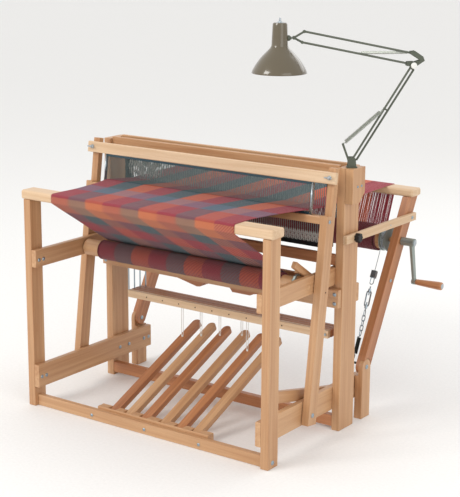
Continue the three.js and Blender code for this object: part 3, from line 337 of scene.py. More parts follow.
def tube(points, radius, sides=6, closed=False):
    """A round bar along points, turned smoothly from one to the next."""
    points = [Vector(p) for p in points]
    count = len(points)
    vertices, faces = [], []
    side = None
    for i, point in enumerate(points):
        before = points[i - 1] if i or closed else points[0]
        after = points[(i + 1) % count] if i + 1 < count or closed else points[-1]
        forward = (after - before).normalized()
        if side is None:
            side = forward.orthogonal().normalized()
        side = (side - forward * side.dot(forward)).normalized()
        other = forward.cross(side)
        for k in range(sides):
            angle = math.tau * k / sides
            vertices.append(point + spoke(side, other, angle) * radius)
    for i in range(count if closed else count - 1):
        for k in range(sides):
            a = i * sides + k
            b = i * sides + (k + 1) % sides
            c = (i + 1) % count * sides
            faces.append((a, b, c + (k + 1) % sides, c + k))
    if not closed:
        faces.append(tuple(range(sides - 1, -1, -1)))
        faces.append(tuple(range((count - 1) * sides, count * sides)))
    return vertices, faces


def slab(points, along, thick):
    """A flat plate: its outline, and the direction and size of its thickness."""
    along = Vector(along).normalized() * thick
    count = len(points)
    vertices = [Vector(p) for p in points] + [Vector(p) + along for p in points]
    faces = [tuple(range(count - 1, -1, -1)), tuple(range(count, 2 * count))]
    faces += [(i, (i + 1) % count, count + (i + 1) % count, count + i) for i in range(count)]
    return vertices, faces


def smooth_by_angle(thing, degrees=35):
    """Smooth shading, with a sharp edge where two faces meet at more than the angle."""
    for polygon in thing.data.polygons:
        polygon.use_smooth = True
    limit = math.radians(degrees)
    mesh = thing.data
    mesh.update()
    faces_of = {}
    for polygon in mesh.polygons:
        for key in polygon.edge_keys:
            faces_of.setdefault(key, []).append(polygon.normal)
    for edge in mesh.edges:
        normals = faces_of.get(edge.key, [])
        if len(normals) == 2 and normals[0].angle(normals[1], 0) > limit:
            edge.use_edge_sharp = True


def piece(name, parts, material, body, smooth=True):
    """One named object from several shapes, riding on a body."""
    vertices, faces = merged(parts)
    thing = mesh_object(name, vertices, faces, material)
    if smooth:
        smooth_by_angle(thing)
    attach(thing, body)
    return thing


def mm(*values):
    """A point given in millimetres."""
    return Vector(values) / 1000


# ---- Timber ----------------------------------------------------------------------------------
slots = {part["node"]: part["material_slot"] for part in frame["record"]["subparts"]}
# The way that the grain runs in the nodes whose names start so. The rest run upright.
ALONG_X = ["breast_beam", "front_lower_rail", "treadle_block", "castle_", "back_beam", "warp_beam",
           "cloth_beam", "race_sill", "handtree", "lamm_", "crank_grip"]
ALONG_Y = ["upper_rail", "lower_rail", "brace_", "treadle_", "brake_treadle", "cloth_pawl"]
TILTS = {"back_leg": -28.3, "beater_leg": -7.6, "treadle_": 23.3, "brake_treadle": -12.4, "cloth_pawl": -32.5}
METALS = {"steel": steel, "black_steel": black_paint, "cast_iron": drum_grey, "lamp_enamel": enamel,
          "lamp_steel": arm_paint}
for node, thing in frame["nodes"].items():
    kind = slots[node]
    if kind in METALS:
        look = METALS[kind]
    elif kind in WOODS:
        upright = "upright" in node
        along = "Z"
        if not upright and node != "treadle_block" and any(node.startswith(stem) for stem in ALONG_Y):
            along = "Y"
        elif not upright and any(node.startswith(stem) for stem in ALONG_X):
            along = "X"
        tilt = next((t for stem, t in TILTS.items() if node.startswith(stem) and node != "treadle_block"), 0)
        look = wood("wood_" + node, WOODS[kind], along, tilt)
    else:
        look = YARNS[0]
    thing.data.materials.clear()
    thing.data.materials.append(look)


def repaint(node, look, where):
    """Gives a CAD node's faces a second finish where(middle of face) holds."""
    mesh = frame["nodes"][node].data
    mesh.materials.append(look)
    for polygon in mesh.polygons:
        if where(polygon.center):
            polygon.material_index = len(mesh.materials) - 1


for side in ("left", "right"):
    repaint(f"brace_{side}", black_plastic, lambda at: abs(at.x) > 0.5208)
CLOTH_BEAM_Y, CLOTH_BEAM_Z = 239.0, 523.0


def on_ratchet(at):
    """The cloth beam's right end, outside of its wood."""
    return at.x > 0.4275 and math.hypot(at.y - CLOTH_BEAM_Y / 1000, at.z - CLOTH_BEAM_Z / 1000) > 0.0292


repaint("cloth_beam", drum_grey, on_ratchet)

# ---- Web -------------------------------------------------------------------------------------
BREAST_TOP, BREAST_BASE, BREAST_FRONT, BREAST_BACK = 762.0, 731.0, -27.0, 38.0
ROUND = 8.0
FELL_Y, WEB_Z = 305.0, 757.5
REED_HALF_WEB, FRONT_HALF, WARP_HALF = 420.0, 372.0, 412.0


def arc(y, z, radius, start, end, steps):
    """Points round a centre in the YZ plane, between two angles in degrees."""
    points = []
    for i in range(steps + 1):
        angle = math.radians(start + (end - start) * i / steps)
        points.append((y + radius * math.cos(angle), z + radius * math.sin(angle)))
    return points


def taut(y1, z1, r1, side1, y2, z2, r2, side2):
    """A line stretched from one roll to another: its angle at the first, and its point on the second."""
    away = math.hypot(y2 - y1, z2 - z1)
    heading = math.atan2(z2 - z1, y2 - y1) - math.asin((side2 * r2 - side1 * r1) / away)
    meets = (y2 + side2 * r2 * math.sin(heading), z2 - side2 * r2 * math.cos(heading))
    return math.degrees(heading) - side1 * 90, meets


def spaced(points, step):
    """The same line with a point every step or so on its straight stretches."""
    out = [points[0]]
    for a, b in zip(points, points[1:]):
        count = max(1, int(math.dist(a, b) / step))
        out += [tuple(p + (q - p) * i / count for p, q in zip(a, b)) for i in range(1, count + 1)]
    return out


CLOTH_LIFT = 1.4  # of the cloth's middle above the wood
edge = ROUND + CLOTH_LIFT
front = BREAST_FRONT + ROUND
leaves, on_roll = taut(front, BREAST_BASE + ROUND, edge, 1, CLOTH_BEAM_Y, CLOTH_BEAM_Z, 36.0, -1)
line = [(FELL_Y, WEB_Z), (FELL_Y - 60, WEB_Z + 1.2), (FELL_Y - 130, WEB_Z + 2.8), (FELL_Y - 210, WEB_Z + 4.6)]
line += [(BREAST_BACK - 4, BREAST_TOP + CLOTH_LIFT)] + arc(front, BREAST_TOP - ROUND, edge, 90, 180, 8)
line += arc(front, BREAST_BASE + ROUND, edge, 180, 360 + leaves, 5) + [on_roll]
line = spaced(line, 9.0)


def half_at(y, bent):
    """The web draws in from the reed to the breast beam."""
    if bent:
        return FRONT_HALF
    t = max(0.0, min(1.0, (y - BREAST_BACK) / (FELL_Y - BREAST_BACK)))
    return FRONT_HALF + (REED_HALF_WEB - FRONT_HALF) * t ** 1.9


def cloth_sheet(name, path, halves, columns, material, lift):
    """A sheet along a path of (y, z), with the half width at each point and a slight ripple."""
    vertices, faces, uvs = [], [], []
    run = 0.0
    for i, (y, z) in enumerate(path):
        if i:
            run += math.dist(path[i - 1], path[i])
        for c in range(columns + 1):
            s = c / columns * 2 - 1
            soft = lift * math.sin(run * 0.021 + s * 5.0) * math.sin(s * 9.0 + run * 0.013)
            vertices.append(mm(s * halves[i], y, z + soft))
            uvs.append(((s + 1) * FRONT_HALF / 1000, run / 1000))
    for i in range(len(path) - 1):
        for c in range(columns):
            a = i * (columns + 1) + c
            faces.append((a, a + 1, a + columns + 2, a + columns + 1))
    thing = mesh_object(name, vertices, faces, material, smooth=True)
    layer = thing.data.uv_layers.new(name="cloth")
    for loop in thing.data.loops:
        layer.data[loop.index].uv = uvs[loop.vertex_index]
    return thing, run


halves, bent = [], False
for y, z in line:
    bent = bent or y < BREAST_BACK
    halves.append(half_at(y, bent))
WEFT = [
    (0.0, TEAL, 0.08, 0.16),
    (0.117, BLUE, 0.50, 0.35),
    (0.212, CRIMSON, 0.44, 0.40),
    (0.337, CREAM, 0.45, 0.7),
    (0.432, TEAL, 0.50, 0.8),
    (0.512, CRIMSON, 0.50, 0.8),
    (0.600, TEAL, 0.60, 0.7),
]
web_look = woven("web_cloth", WARP_STRIPES, WEFT, yarn=0.0026)
web, web_length = cloth_sheet("web_sheet", line, halves, columns=96, material=web_look, lift=0.35)
thickness = web.modifiers.new("thick", "SOLIDIFY")
thickness.thickness = 0.0013
thickness.offset = 0
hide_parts("web")
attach(web, "frame")
area = sum((halves[i] + halves[i + 1]) * math.dist(line[i], line[i + 1]) for i in range(len(line) - 1)) / 1e6


# ---- Rolls -----------------------------------------------------------------------------------
def wound(name, y, z, radius, inner, half, material, body, node):
    """Cloth wound on a beam, a little uneven, with its layers showing at each end."""
    rings = 64
    around = 72
    profile = [(-half, inner)]
    layers = 6
    for i in range(layers):
        r = inner + (radius - inner) * (i + 0.6) / layers
        profile.append((-half + (0.6 if i % 2 else 0.0), r))
    for i in range(rings + 1):
        profile.append((-half + 2 * half * i / rings, radius))
    for i in reversed(range(layers)):
        r = inner + (radius - inner) * (i + 0.6) / layers
        profile.append((half - (0.6 if i % 2 else 0.0), r))
    profile.append((half, inner))
    vertices, faces, uvs = [], [], []
    for x, r in profile:
        for k in range(around):
            angle = math.tau * k / around
            swell = 0.35 * math.sin(x * 0.03 + angle * 2) + 0.25 * math.sin(x * 0.11 - angle)
            out = r - 0.6 + swell if r == radius else r
            vertices.append(mm(x, y + out * math.cos(angle), z + out * math.sin(angle)))
            uvs.append(((x + half) / 1000 * FRONT_HALF / half, angle * radius / 1000))
    count = len(profile)
    for i in range(count):
        for k in range(around):
            a = i * around + k
            b = i * around + (k + 1) % around
            c = (i + 1) % count * around
            faces.append((a, c + k, c + (k + 1) % around, b))
    thing = mesh_object(name, vertices, faces, material, smooth=True)
    layer = thing.data.uv_layers.new(name="cloth")
    for polygon in thing.data.polygons:
        for loop in polygon.loop_indices:
            u, v = uvs[thing.data.loops[loop].vertex_index]
            wraps = v == 0 and polygon.center.z < z / 1000 and polygon.center.y > y / 1000
            layer.data[loop].uv = (u, math.tau * radius / 1000 if wraps else v)
    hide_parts(node)
    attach(thing, body)
    return thing


# The rolled cloth's weft: the web's crimson made darker, as painted shade of the roll under the web.
ROLL_WEFT_IN_SHADE = [(0.0, srgb(0.46, 0.14, 0.18), 0.30, 0.50), (0.15, srgb(0.40, 0.12, 0.16), 0.36, 0.40)]
shaded_roll_look = woven("rolled_cloth", ROLL_STRIPES_IN_SHADE, ROLL_WEFT_IN_SHADE)
wound("cloth_roll_wound", CLOTH_BEAM_Y, CLOTH_BEAM_Z, 34.5, 28.9, 378, shaded_roll_look,
      "cloth_beam", "cloth_roll")

# ---- Warp ------------------------------------------------------------------------------------
FOLD_Y, FOLD_Z = 565, 180
LEG = math.tan(math.radians(28.3))


def leg_y(z):
    """The middle of a leaning back leg at a height."""
    return FOLD_Y + (z - FOLD_Z) * LEG


WARP_Z = 578.0
WARP_Y = leg_y(WARP_Z)
BACK_BASE, BACK_DEPTH = 723, 62
BACK_FRONT = leg_y(BACK_BASE) - BACK_DEPTH / 2
BACK_BACK = BACK_FRONT + BACK_DEPTH
drops, on_warp = taut(BACK_BACK - ROUND, BACK_BASE + ROUND, edge, -1, WARP_Y, WARP_Z, 46.8, -1)
warp_line = [(FELL_Y + 1, WEB_Z), (439.6, 745.0), (BACK_FRONT + ROUND, 751.4)]
warp_line += arc(BACK_BACK - ROUND, 742, edge, 90, 0, 5)
warp_line += arc(BACK_BACK - ROUND, BACK_BASE + ROUND, edge, 0, drops, 3) + [on_warp]
warp_line = spaced(warp_line, 30.0)
STRAND_PITCH = 2.0
CLUMP = 11.0  # width of the bunches that hang behind the back beam
STRIPES = 10
strands = int(2 * WARP_HALF / STRAND_PITCH)
gathers = [random.uniform(0.02, 0.25) for _ in range(200)]
vertices, faces, looks = [], [], []
for s in range(strands + 1):
    t = s / strands * 2 - 1
    stripe = min(int((t + 1) / 2 * STRIPES), STRIPES - 1)
    path = []
    jitter = random.uniform(-0.5, 0.5)
    group = math.floor(t * WARP_HALF / CLUMP + 0.4 * math.sin(s * 0.37))
    clump = (group + 0.5) * CLUMP
    for i, (y, z) in enumerate(warp_line):
        half = REED_HALF_WEB + (WARP_HALF - REED_HALF_WEB) * min(1, max(0, (y - FELL_Y) / 150))
        x = t * half + jitter * (0 < i < len(warp_line) - 1)
        gather = gathers[group + 100] * math.sin(math.pi * min(1, max(0, (735 - z) / 110))) * (y > 800)
        path.append(mm(x + (clump - x) * gather, y, z + (s % 2) * 0.5 - 0.25))
    more, quads = tube(path, 0.00088, 4)
    base = len(vertices)
    vertices += more
    faces += [tuple(base + i for i in face) for face in quads]
    looks += [stripe % len(YARNS)] * len(quads)
warp = mesh_object("warp_strands", vertices, faces, YARNS, smooth=True)
for polygon, look in zip(warp.data.polygons, looks):
    polygon.material_index = look
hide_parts("warp")
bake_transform(warp)

WOUND = thirds(srgb(0.55, 0.12, 0.20), srgb(0.50, 0.13, 0.20), srgb(0.60, 0.17, 0.20))
warp_roll_look = woven("wound_warp", WOUND, [(0.0, srgb(0.45, 0.10, 0.17), 0.5, 0.1)], yarn=0.0016)
DRUM_RADIUS = 38.4
wound("warp_roll_wound", WARP_Y, WARP_Z, 46, DRUM_RADIUS, 420, warp_roll_look,
      "warp_beam", "warp_roll")

# ---- Reed and heddles ------------------------------------------------------------------------
lean = math.radians(7.6)
PIVOT_Y, PIVOT_Z = 231.0, 105.0


def beat(x, u, v):
    """A point of the beater from its leaning axes."""
    back = u * math.cos(lean) + v * math.sin(lean)
    up = v * math.cos(lean) - u * math.sin(lean)
    return mm(x, PIVOT_Y + back, PIVOT_Z + up)


def box_between(x0, x1, u0, u1, v0, v1, place):
    """A bar between two corners, in the axes that place turns into points."""
    corners = [place(x, u, v) for x in (x0, x1) for u in (u0, u1) for v in (v0, v1)]
    faces = [(0, 1, 3, 2), (4, 6, 7, 5), (0, 4, 5, 1), (2, 3, 7, 6), (0, 2, 6, 4), (1, 5, 7, 3)]
    return corners, faces


DENTS = 281
REED_HALF = 425
dents = []
for i in range(DENTS):
    x = -REED_HALF + 2 * REED_HALF * i / (DENTS - 1)
    dents.append(box_between(x - 0.3, x + 0.3, -5.6, -4.4, 646.5, 741.5, beat))
piece("reed_dents", dents, dent_steel, "beater", smooth=False)
bands = [box_between(-431.5, 431.5, -9.4, -0.6, v0, v1, beat) for v0, v1 in ((642.6, 650), (738, 745.6))]
piece("reed_bands", bands, pitch_band, "beater", smooth=False)
ends = []
for side in (-1, 1):
    ends.append(tube([beat(side * 428.4, -10.4, 646), beat(side * 428.4, -10.4, 744)], 0.0024, 10))
piece("reed_end_rods", ends, steel, "beater")

SHAFTS = 4
HEDDLES = 104  # on each shaft
HEDDLE_HALF = 409


def heddle_x(i, k):
    """The place of heddle i on shaft k, a quarter step apart from shaft to shaft."""
    return -HEDDLE_HALF + 2 * HEDDLE_HALF * (i + 0.25 * k) / HEDDLES


for k in range(SHAFTS):
    y = 421.6 + 9 * k + 3.2
    wires = []
    for i in range(HEDDLES):
        x = heddle_x(i, k)
        sway = random.uniform(-0.5, 0.5)
        eye = [mm(x + sway, y - 0.6, 739), mm(x + sway, y + 0.6, 751)]
        wires.append(tube([mm(x, y, 617), *eye, mm(x, y, 867)], 0.0006, 4))
    piece(f"heddles_{k + 1}", wires, [grey_heddle], f"shaft_{k + 1}")
    loops = []
    for i in range(HEDDLES):
        x = heddle_x(i, k)
        zig = 2.4 if i % 2 else -2.4
        tail = [mm(x - zig, y, 623), mm(x + zig, y - 1, 633), mm(x - zig, y + 1, 643), mm(x, y, 652)]
        loops.append(tube(tail, 0.0013, 5))
    for i in range(26):  # spare heddles, pushed to the left
        x = -HEDDLE_HALF + 4.8 * i + 1.2 * k
        zig = random.uniform(2.0, 4.5) * (1 if i % 2 else -1)
        low = 762 + random.uniform(-6, 10)
        spare = [mm(x, y, low), mm(x + zig, y - 1, low + 22), mm(x - zig, y + 1, low + 44)]
        loops.append(tube(spare + [mm(x + zig * 0.5, y, 858)], 0.0011, 5))
    piece(f"heddle_ends_{k + 1}", loops, white_cord, f"shaft_{k + 1}")

# ---- Tie cords and lamm holes ----------------------------------------------------------------
TREADLE_X = [-159, -92, -25, 55, 122, 189]
LAMM_Y = [406, 427, 448, 469]
OWN = [0, 1, 2, 3, 0, 3]  # the lamm that each treadle pulls
slope = math.tan(math.radians(23.3))
for i, x in enumerate(TREADLE_X):
    y = LAMM_Y[OWN[i]]
    top = 30 + (y - 28) * slope
    cords = []
    for dx in (-4.0, 4.0):
        low_end = [mm(x + dx * 0.6, y, top - 4), mm(x + dx, y, top + 40)]
        cords.append(tube(low_end + [mm(x + dx, y, 300), mm(x + dx * 0.5, y, 322)], 0.0011, 6))
    knot = [(0, 0.001), (0.002, 0.003), (0.006, 0.003), (0.008, 0.001)]
    cords.append(lathe(knot, mm(x, y, top + 9), (0, 0, 1), 10))
    piece(f"tie_{i + 1}", cords, white_cord, f"lamm_{OWN[i] + 1}")

# The lamms' holes: dark discs of painted shade.
bore = [(0, 0.0001), (0, 0.0026), (0.0012, 0.0026)]
holes = [lathe(bore, mm(-315 + 73 * i, LAMM_Y[0] - 9.1, 324), (0, 1, 0), 14) for i in range(9)]
piece("lamm_holes", holes, hole_shade, "lamm_1")

# ---- Bolts, wing nuts and knobs --------------------------------------------------------------
def bolt(at, out, radius=0.0065):
    """A domed head with a driver recess, standing on a face."""
    profile = [(-0.001, radius * 0.9), (0.0, radius), (0.0012, radius), (0.0026, radius * 0.8),
               (0.0033, radius * 0.45), (0.0022, radius * 0.4), (0.0018, radius * 0.1)]
    return lathe(profile, at, out, 20)


def star_knob(side):
    """The seven-lobed hand knob on a brace, domed at its outer end."""
    vertices, faces = [], []
    rings = [(520.6, 0.80), (521.2, 0.98), (523, 1.02), (532, 1.02), (535.5, 0.96)]
    rings += [(537.2, 0.80), (537.6, 0.45), (536.9, 0.32), (536.8, 0.05)]
    around = 70
    for x, scale in rings:
        for k in range(around):
            angle = math.tau * k / around
            r = 13.8 * scale * (1 + 0.14 * math.cos(7 * angle))
            vertices.append(mm(side * x, 445 + r * math.cos(angle), 655 + r * math.sin(angle)))
    for i in range(len(rings) - 1):
        for k in range(around):
            a, b = i * around + k, i * around + (k + 1) % around
            faces.append((a, b, b + around, a + around))
    last = (len(rings) - 1) * around
    faces += [tuple(range(around - 1, -1, -1)), tuple(range(last, last + around))]
    if side < 0:
        faces = [tuple(reversed(face)) for face in faces]
    return vertices, faces


def screw_hole(at, out, radius=0.0028):
    return lathe([(-0.0005, radius * 0.5), (0.0003, radius), (0.0005, radius * 0.9)], at, out, 14)


POST_FACE = 502.5
LEG_FACE = 504.5
BRACE_FACE = 520.5
side_bolts = []
for side in (-1, 1):
    rail_ends = [(y, 107) for y in (-8, 14, 410, 462, 549, 577)] + [(y, 523) for y in (-8, 14, 410, 462)]
    for y, z in rail_ends:
        side_bolts.append(bolt(mm(side * 453.2, y, z), (-side, 0, 0)))
    side_bolts.append(bolt(mm(side * POST_FACE, 1, 19), (side, 0, 0), 0.0075))
    for z in (442, 473):
        side_bolts.append(bolt(mm(side * 486, 374.7, z), (0, -1, 0)))
piece("frame_bolts", side_bolts, zinc, "frame")
rail_bolts = [bolt(mm(x, -10, 17), (0, -1, 0), 0.0055) for x in (-226, 1, 225)]
piece("front_rail_bolts", rail_bolts, zinc, "frame")
block_screws = [bolt(mm(531.8, y, 826), (1, 0, 0), 0.004) for y in (424, 448)]
piece("block_screws", block_screws, zinc, "frame")
stub = [bolt(mm(side * LEG_FACE, FOLD_Y, FOLD_Z), (side, 0, 0), 0.008) for side in (-1, 1)]
piece("fold_bolts", stub, zinc, "frame")
inner_fold = [bolt(mm(side * 475.5, FOLD_Y, FOLD_Z), (-side, 0, 0), 0.008) for side in (-1, 1)]
piece("fold_bolts_inner", inner_fold, zinc, "back_frame")
leg_bolts = [bolt(mm(side * LEG_FACE, leg_y(451), 451), (side, 0, 0), 0.006) for side in (-1, 1)]
piece("leg_bolts", leg_bolts, zinc, "back_frame")
for name, side in (("left", -1), ("right", 1)):
    brace_bolt = [bolt(mm(side * BRACE_FACE, leg_y(655), 655), (side, 0, 0), 0.006),
                  screw_hole(mm(side * BRACE_FACE, 671, 655), (side, 0, 0), 0.003)]
    piece(f"brace_bolt_{name}", brace_bolt, zinc, f"brace_{name}")
    piece(f"brace_knob_{name}", [star_knob(side)], black_plastic, f"brace_{name}")

BEATER_FACE = 501.5
beater_bolts = []
for side in (-1, 1):
    beater_bolts.append(bolt(beat(side * BEATER_FACE, -6, 627), (side, 0, 0), 0.006))
    beater_bolts.append(bolt(beat(side * BEATER_FACE, 0, 0), (side, 0, 0), 0.0075))
piece("beater_bolts", beater_bolts, zinc, "beater")
# Painted shade in the beater legs' screw holes.
beater_holes = [screw_hole(beat(side * BEATER_FACE, 10, 400), (side, 0, 0)) for side in (-1, 1)]
piece("beater_holes", beater_holes, hole_shade, "beater")
out = (0, -math.cos(lean), math.sin(lean))
for name, side in (("left", -1), ("right", 1)):
    at = beat(side * 491, -13.8, 766)
    parts = [lathe([(-0.001, 0.007), (0.001, 0.0075), (0.0022, 0.007)], at, out, 22),
             lathe([(0.002, 0.0035), (0.006, 0.0052), (0.011, 0.0042), (0.013, 0.002)], at, out, 18)]
    for wing in (-1, 1):
        base = at + Vector(out) * 0.006
        tip = base + Vector((wing * 0.013, 0, 0)) + Vector(out) * 0.006
        parts.append(tube([base, base + (tip - base) * 0.5 + Vector(out) * 0.0005, tip], 0.0026, 10))
    piece(f"wing_nut_{name}", parts, steel, "beater")

# ---- Lamm straps and jacks -------------------------------------------------------------------
for k in range(SHAFTS):
    x = -404 + 9 * k
    y = LAMM_Y[k]
    strap = [box_between(x - 2.6, x + 2.6, y - 0.6, y + 0.6, 330, 556, mm),
             lathe([(0, 0.0016), (0.0004, 0.0028), (0.0012, 0.002)], mm(x, y - 0.6, 345), (0, -1, 0), 12)]
    piece(f"lamm_strap_{k + 1}", strap, zinc, f"lamm_{k + 1}")
LEFT_JACK = [(-60, 462), (-66, 418), (-78, 402), (-92, 400), (-190, 421), (-330, 448), (-336, 462)]
LEFT_JACK += [(-320, 470), (-80, 476)]
RIGHT_JACK = [(36, 462), (48, 420), (60, 405), (134, 405), (150, 412), (326, 448), (334, 460)]
RIGHT_JACK += [(320, 470), (52, 476)]
jack_wood = wood("wood_jacks", RED, "X")
jacks = []
for k in range(SHAFTS):
    for shape in (LEFT_JACK, RIGHT_JACK):
        jacks.append(slab([mm(x, 402 + 20.5 * k, z) for x, z in shape], (0, 1, 0), 0.015))
piece("jacks", jacks, jack_wood, "frame")
hinge_bar = [tube([mm(x, 396, z), mm(x, 485, z)], 0.004, 14) for x, z in ((-200, 442), (200, 442))]
piece("jack_rods", hinge_bar, zinc, "frame")
lamm_rod = [tube([mm(440, 392, 325), mm(440, 487, 325)], 0.0045, 16)]
piece("lamm_rod", lamm_rod, zinc, "frame")

# ---- Brake line: cable, block, turnbuckle, chain and spring ----------------------------------
CABLE_X = 449


def run(y, z):
    """A point in the brake line's plane."""
    return mm(CABLE_X, y, z)


def oval_link(centre, along, flat, length, width, wire):
    """A chain link: a closed oval of wire, long along the chain and flat to one side."""
    along = Vector(along).normalized()
    flat = (Vector(flat) - along * Vector(flat).dot(along)).normalized()
    points = []
    for i in range(24):
        angle = math.tau * i / 24
        stretch = (length - width) / 2 * (1 if math.cos(angle) > 0 else -1)
        reach = stretch + math.cos(angle) * width / 2
        points.append(centre + along * reach + flat * math.sin(angle) * width / 2)
    return tube(points, wire, 7, closed=True)


cable_path = [run(740.9, 582), run(740.4, 571), run(736, 556), run(724, 530), run(708, 498), run(699, 480)]
line_parts = [tube(cable_path, 0.0012, 8)]
down = (run(678, 440) - run(699, 480)).normalized()
side_way = Vector((1, 0, 0))
top = run(699, 480)
front_way = side_way.cross(down)
corner = [top + side_way * a * 0.009 + front_way * b * 0.007 for a, b in ((-1, -1), (1, -1), (1, 1), (-1, 1))]
line_parts.append(slab(corner, down, 0.026))
block_screw = [(-0.004, 0.003), (-0.003, 0.0045), (0.003, 0.0045), (0.004, 0.003)]
line_parts.append(lathe(block_screw, top + down * 0.013 + front_way * 0.007, front_way, 12))
line_parts.append(oval_link(top + down * 0.036, down, side_way, 0.026, 0.013, 0.0016))
turn_top, turn_end = run(673, 430), run(640, 350)
way = (turn_end - turn_top).normalized()
long = (turn_end - turn_top).length
line_parts.append(oval_link(turn_top + way * long * 0.5, way, side_way, long * 0.62, 0.016, 0.0026))
hex_nut = [(-0.007, 0.003), (-0.006, 0.0052), (0.006, 0.0052), (0.007, 0.003)]
for share in (0.18, 0.82):
    line_parts.append(lathe(hex_nut, turn_top + way * long * share, way, 6))
line_parts.append(tube([turn_top, turn_top + way * long * 0.36], 0.0022, 8))
line_parts.append(tube([turn_end, turn_end - way * long * 0.36], 0.0022, 8))
chain_from, chain_to = run(640, 350), run(610, 270)
LINKS = 5
step = (chain_to - chain_from) / LINKS
for i in range(LINKS):
    flat = side_way if i % 2 else side_way.cross(step)
    line_parts.append(oval_link(chain_from + step * (i + 0.5), step, flat, step.length * 1.22, 0.011, 0.0015))
cable = piece("brake_line", line_parts, zinc, "back_frame")
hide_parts("brake_cable")


def coil(start, end, radius, turns, wire, lead=0.06):
    """A tension spring between two points, with a straight hook at each end."""
    start, end = Vector(start), Vector(end)
    axis = (end - start).normalized()
    side = axis.orthogonal().normalized()
    other = axis.cross(side)
    length = (end - start).length
    points = [start, start + axis * length * lead * 0.6]
    steps = turns * 8
    for i in range(steps + 1):
        angle = math.tau * i / 8
        along = length * (lead + (1 - 2 * lead) * i / steps)
        points.append(start + axis * along + spoke(side, other, angle) * radius)
    points += [end - axis * length * lead * 0.6, end]
    return tube(points, wire, 5)


spring = [coil(run(610, 272), run(578, 204), 0.0062, 24, 0.0014, 0.12)]
hook = [run(578, 204), run(574, 197), run(572, 190), run(568, 186), run(563, 187), run(562, 192)]
spring.append(tube(hook, 0.0016, 8))
hook_pin = [(-0.020, 0.0025), (-0.019, 0.004), (0.0, 0.004), (0.001, 0.0025)]
spring.append(lathe(hook_pin, mm(474, 566, 186), (1, 0, 0), 14))
piece("brake_spring", spring, spring_grey, "back_frame")
rings = []
for x in (444.5, 448.5, 452.5):
    circle = arc(WARP_Y, WARP_Z, DRUM_RADIUS, 0, 360, 48)[:-1]
    rings.append(tube([mm(x, y, z) for y, z in circle], 0.0013, 6, closed=True))
piece("drum_cable_turns", rings, steel, "warp_beam")
washer = [(0, 0.006), (0, 0.0105), (0.0018, 0.0105), (0.0030, 0.006), (0.0048, 0.0055), (0.0052, 0.003)]
washer_mesh = lathe(washer, mm(555.4, WARP_Y, WARP_Z), (1, 0, 0), 24)
piece("crank_washer", [washer_mesh], steel, "warp_beam")
end = [(0, 0.0085), (0.0006, 0.0092), (0.0014, 0.0085), (0.0014, 0.0045), (0.0024, 0.004), (0.0026, 0.002)]
end_mesh = lathe(end, mm(652.7, 807.3, 433.7), (1, 0, 0), 24)
piece("grip_end", [end_mesh], steel, "crank_grip")

# ---- Lamp ------------------------------------------------------------------------------------
lamp_turn = math.radians(40)
LAMP = Vector((0.507, 0.425, 0.8863))


def lamp_at(s, t, z):
    """A lamp point: along the arms' plane, across it, and up, in millimetres."""
    c, d = math.cos(lamp_turn), math.sin(lamp_turn)
    return LAMP + Vector((s * c - t * d, s * d + t * c, z)) / 1000


LOWER_ARM = (183, 302)  # along and up, from its pivot to the elbow
UPPER_ARM = (-349, 69)  # from the elbow to the head
PIVOT_UP = 25
elbow = (LOWER_ARM[0], PIVOT_UP + LOWER_ARM[1])
mid = (LOWER_ARM[0] * 0.54, PIVOT_UP + LOWER_ARM[1] * 0.54)
pale_spring = hard_look("lamp_springs", srgb(0.70, 0.72, 0.68), 0.35, 0.8)
for name, t in (("near", -8.2), ("far", 7.8)):
    tab, pin = lamp_at(-29, t * 0.8, 76), lamp_at(mid[0] - 4, t, mid[1] - 4)
    turns = coil(tab, pin, 0.0046, 44, 0.0009)
    lower_spring = mesh_object(f"lamp_spring_{name}", *turns, pale_spring, smooth=True)
    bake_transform(lower_spring)
head = (elbow[0] + UPPER_ARM[0], elbow[1] + UPPER_ARM[1])
knob_at = lamp_at(elbow[0] + 2, -15, elbow[1] - 2)
across = (lamp_at(0, -1, 0) - lamp_at(0, 0, 0)).normalized()
knob = [(0.0, 0.005), (0.001, 0.009), (0.007, 0.010), (0.010, 0.008), (0.011, 0.003)]
piece("elbow_knob", [lathe(knob, knob_at, across, 24)], white_plastic, "lamp_upper_arm")
upper_from = lamp_at(elbow[0] - 4, 6, elbow[1] + 37)
upper_to = lamp_at(elbow[0] - 172, 3, elbow[1] + 36)
upper_coil = coil(upper_from, upper_to, 0.0042, 52, 0.0010)
piece("upper_spring", [upper_coil], pale_spring, "lamp_upper_arm")

shade_mid = head[0] - 70
base = head[1] - 95
# Each profile is (height above the rim, radius).
outer = [(0, 86.5), (4, 86), (10, 83.8), (18, 79.4), (27, 74), (36, 67.8), (45, 61), (54, 53), (63, 44)]
outer += [(71, 36), (77, 30.4), (81, 27.6), (86, 25.8), (110, 24.8), (140, 23.4), (151, 22.8)]
outer += [(155, 21), (156, 17)]
inner_wall = [(0.6, 85), (10, 81.8), (27, 71.8), (45, 58.6), (63, 41.4), (79, 26.6), (86, 23.4), (150, 17)]
AROUND = 96


def open_bell(profile):
    """A turned shell without its end face at the rim."""
    metres = [(height / 1000, radius / 1000) for height, radius in profile]
    vertices, faces = lathe(metres, lamp_at(shade_mid, 0, base), (0, 0, 1), AROUND)
    return vertices, faces[:-2] + [faces[-1]]


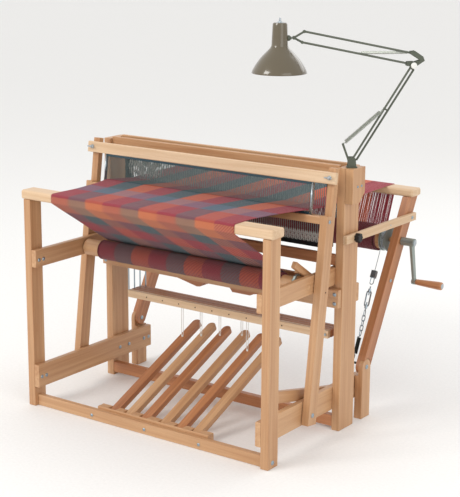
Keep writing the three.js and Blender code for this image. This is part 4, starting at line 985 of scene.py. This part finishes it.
shade = mesh_object("shade_shell", *open_bell(outer), enamel)
smooth_by_angle(shade, 40)
shade_inside = mesh_object("shade_lining", *open_bell(inner_wall), white_inside, smooth=True)
ring = []
for i in range(AROUND):
    angle = math.tau * i / AROUND
    ring.append(lamp_at(shade_mid + 86 * math.cos(angle), 86 * math.sin(angle), base + 0.6))
rim_bead = mesh_object("shade_rim", *tube(ring, 0.0011, 8, closed=True), enamel, smooth=True)
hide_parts("lamp_shade")
for thing in (shade, shade_inside, rim_bead):
    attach(thing, "lamp_shade")
bulb = [(0, 0.010), (0.002, 0.013), (0.030, 0.0135), (0.050, 0.018), (0.068, 0.0215), (0.080, 0.028)]
bulb += [(0.095, 0.031), (0.110, 0.027), (0.122, 0.014), (0.125, 0.003)]
bulb_glass = hard_look("bulb_glass", srgb(0.95, 0.94, 0.90), 0.25, 0.0)
bulb_mesh = lathe(bulb, lamp_at(shade_mid, 0, base + 148), (0, 0, -1), 32)
piece("shade_bulb", [bulb_mesh], bulb_glass, "lamp_shade")
tilt_pin = (head[0] - 26, head[1] + 14)
stem_up = tilt_pin[1] - 1
inwards = lamp_at(-1, 0, 0) - lamp_at(0, 0, 0)
collar = [(0, 0.006), (0.004, 0.009), (0.010, 0.009), (0.012, 0.006)]
stem = [tube([lamp_at(tilt_pin[0] - 7, 0, stem_up), lamp_at(shade_mid + 23, 0, stem_up)], 0.0044, 12),
        lathe(collar, lamp_at(shade_mid + 34, 0, stem_up), inwards, 18)]
piece("shade_stem", stem, arm_paint, "lamp_shade")
button = [(0, 0.017), (0.003, 0.0155), (0.0045, 0.0075), (0.0065, 0.007), (0.0085, 0.0035)]
button += [(0.017, 0.0030), (0.018, 0.0015)]
button_mesh = lathe(button, lamp_at(shade_mid, 0, base + 153), (0, 0, 1), 28)
piece("shade_top_button", [button_mesh], steel, "lamp_shade")

# ---- Floor and light -------------------------------------------------------------------------
FLOOR_HALF = 90
floor_corners = [(x * FLOOR_HALF, y * FLOOR_HALF, -0.0005) for x, y in ((-1, -1), (1, -1), (1, 1), (-1, 1))]
floor_paint = hard_look("floor_paint", srgb(0.975, 0.975, 0.97), 0.8, 0.0, 0.05, 900)
floor = mesh_object("floor", floor_corners, [(0, 1, 2, 3)], floor_paint)
world = bpy.data.worlds.new("studio")
bpy.context.scene.world = world
world.use_nodes = True
backdrop = world.node_tree.nodes["Background"]
backdrop.inputs["Color"].default_value = (1.0, 0.99, 0.98, 1)
backdrop.inputs["Strength"].default_value = 0.95


def soft_light(name, place, target, power, size, colour=(1, 1, 1)):
    data = bpy.data.lights.new(name, "AREA")
    data.energy = power
    data.size = size
    data.color = colour
    thing = bpy.data.objects.new(name, data)
    bpy.context.collection.objects.link(thing)
    thing.location = place
    thing.rotation_euler = (Vector(target) - Vector(place)).to_track_quat("-Z", "Y").to_euler()


soft_light("key", (-1.6, -3.6, 3.6), (0, 0.3, 0.5), 92, 1.8, (1, 0.98, 0.95))
soft_light("fill", (3.6, -1.2, 2.2), (0, 0.4, 0.5), 22, 2.5)
soft_light("back", (0.5, 3.5, 3.0), (0, 0.4, 0.6), 22, 2.5)
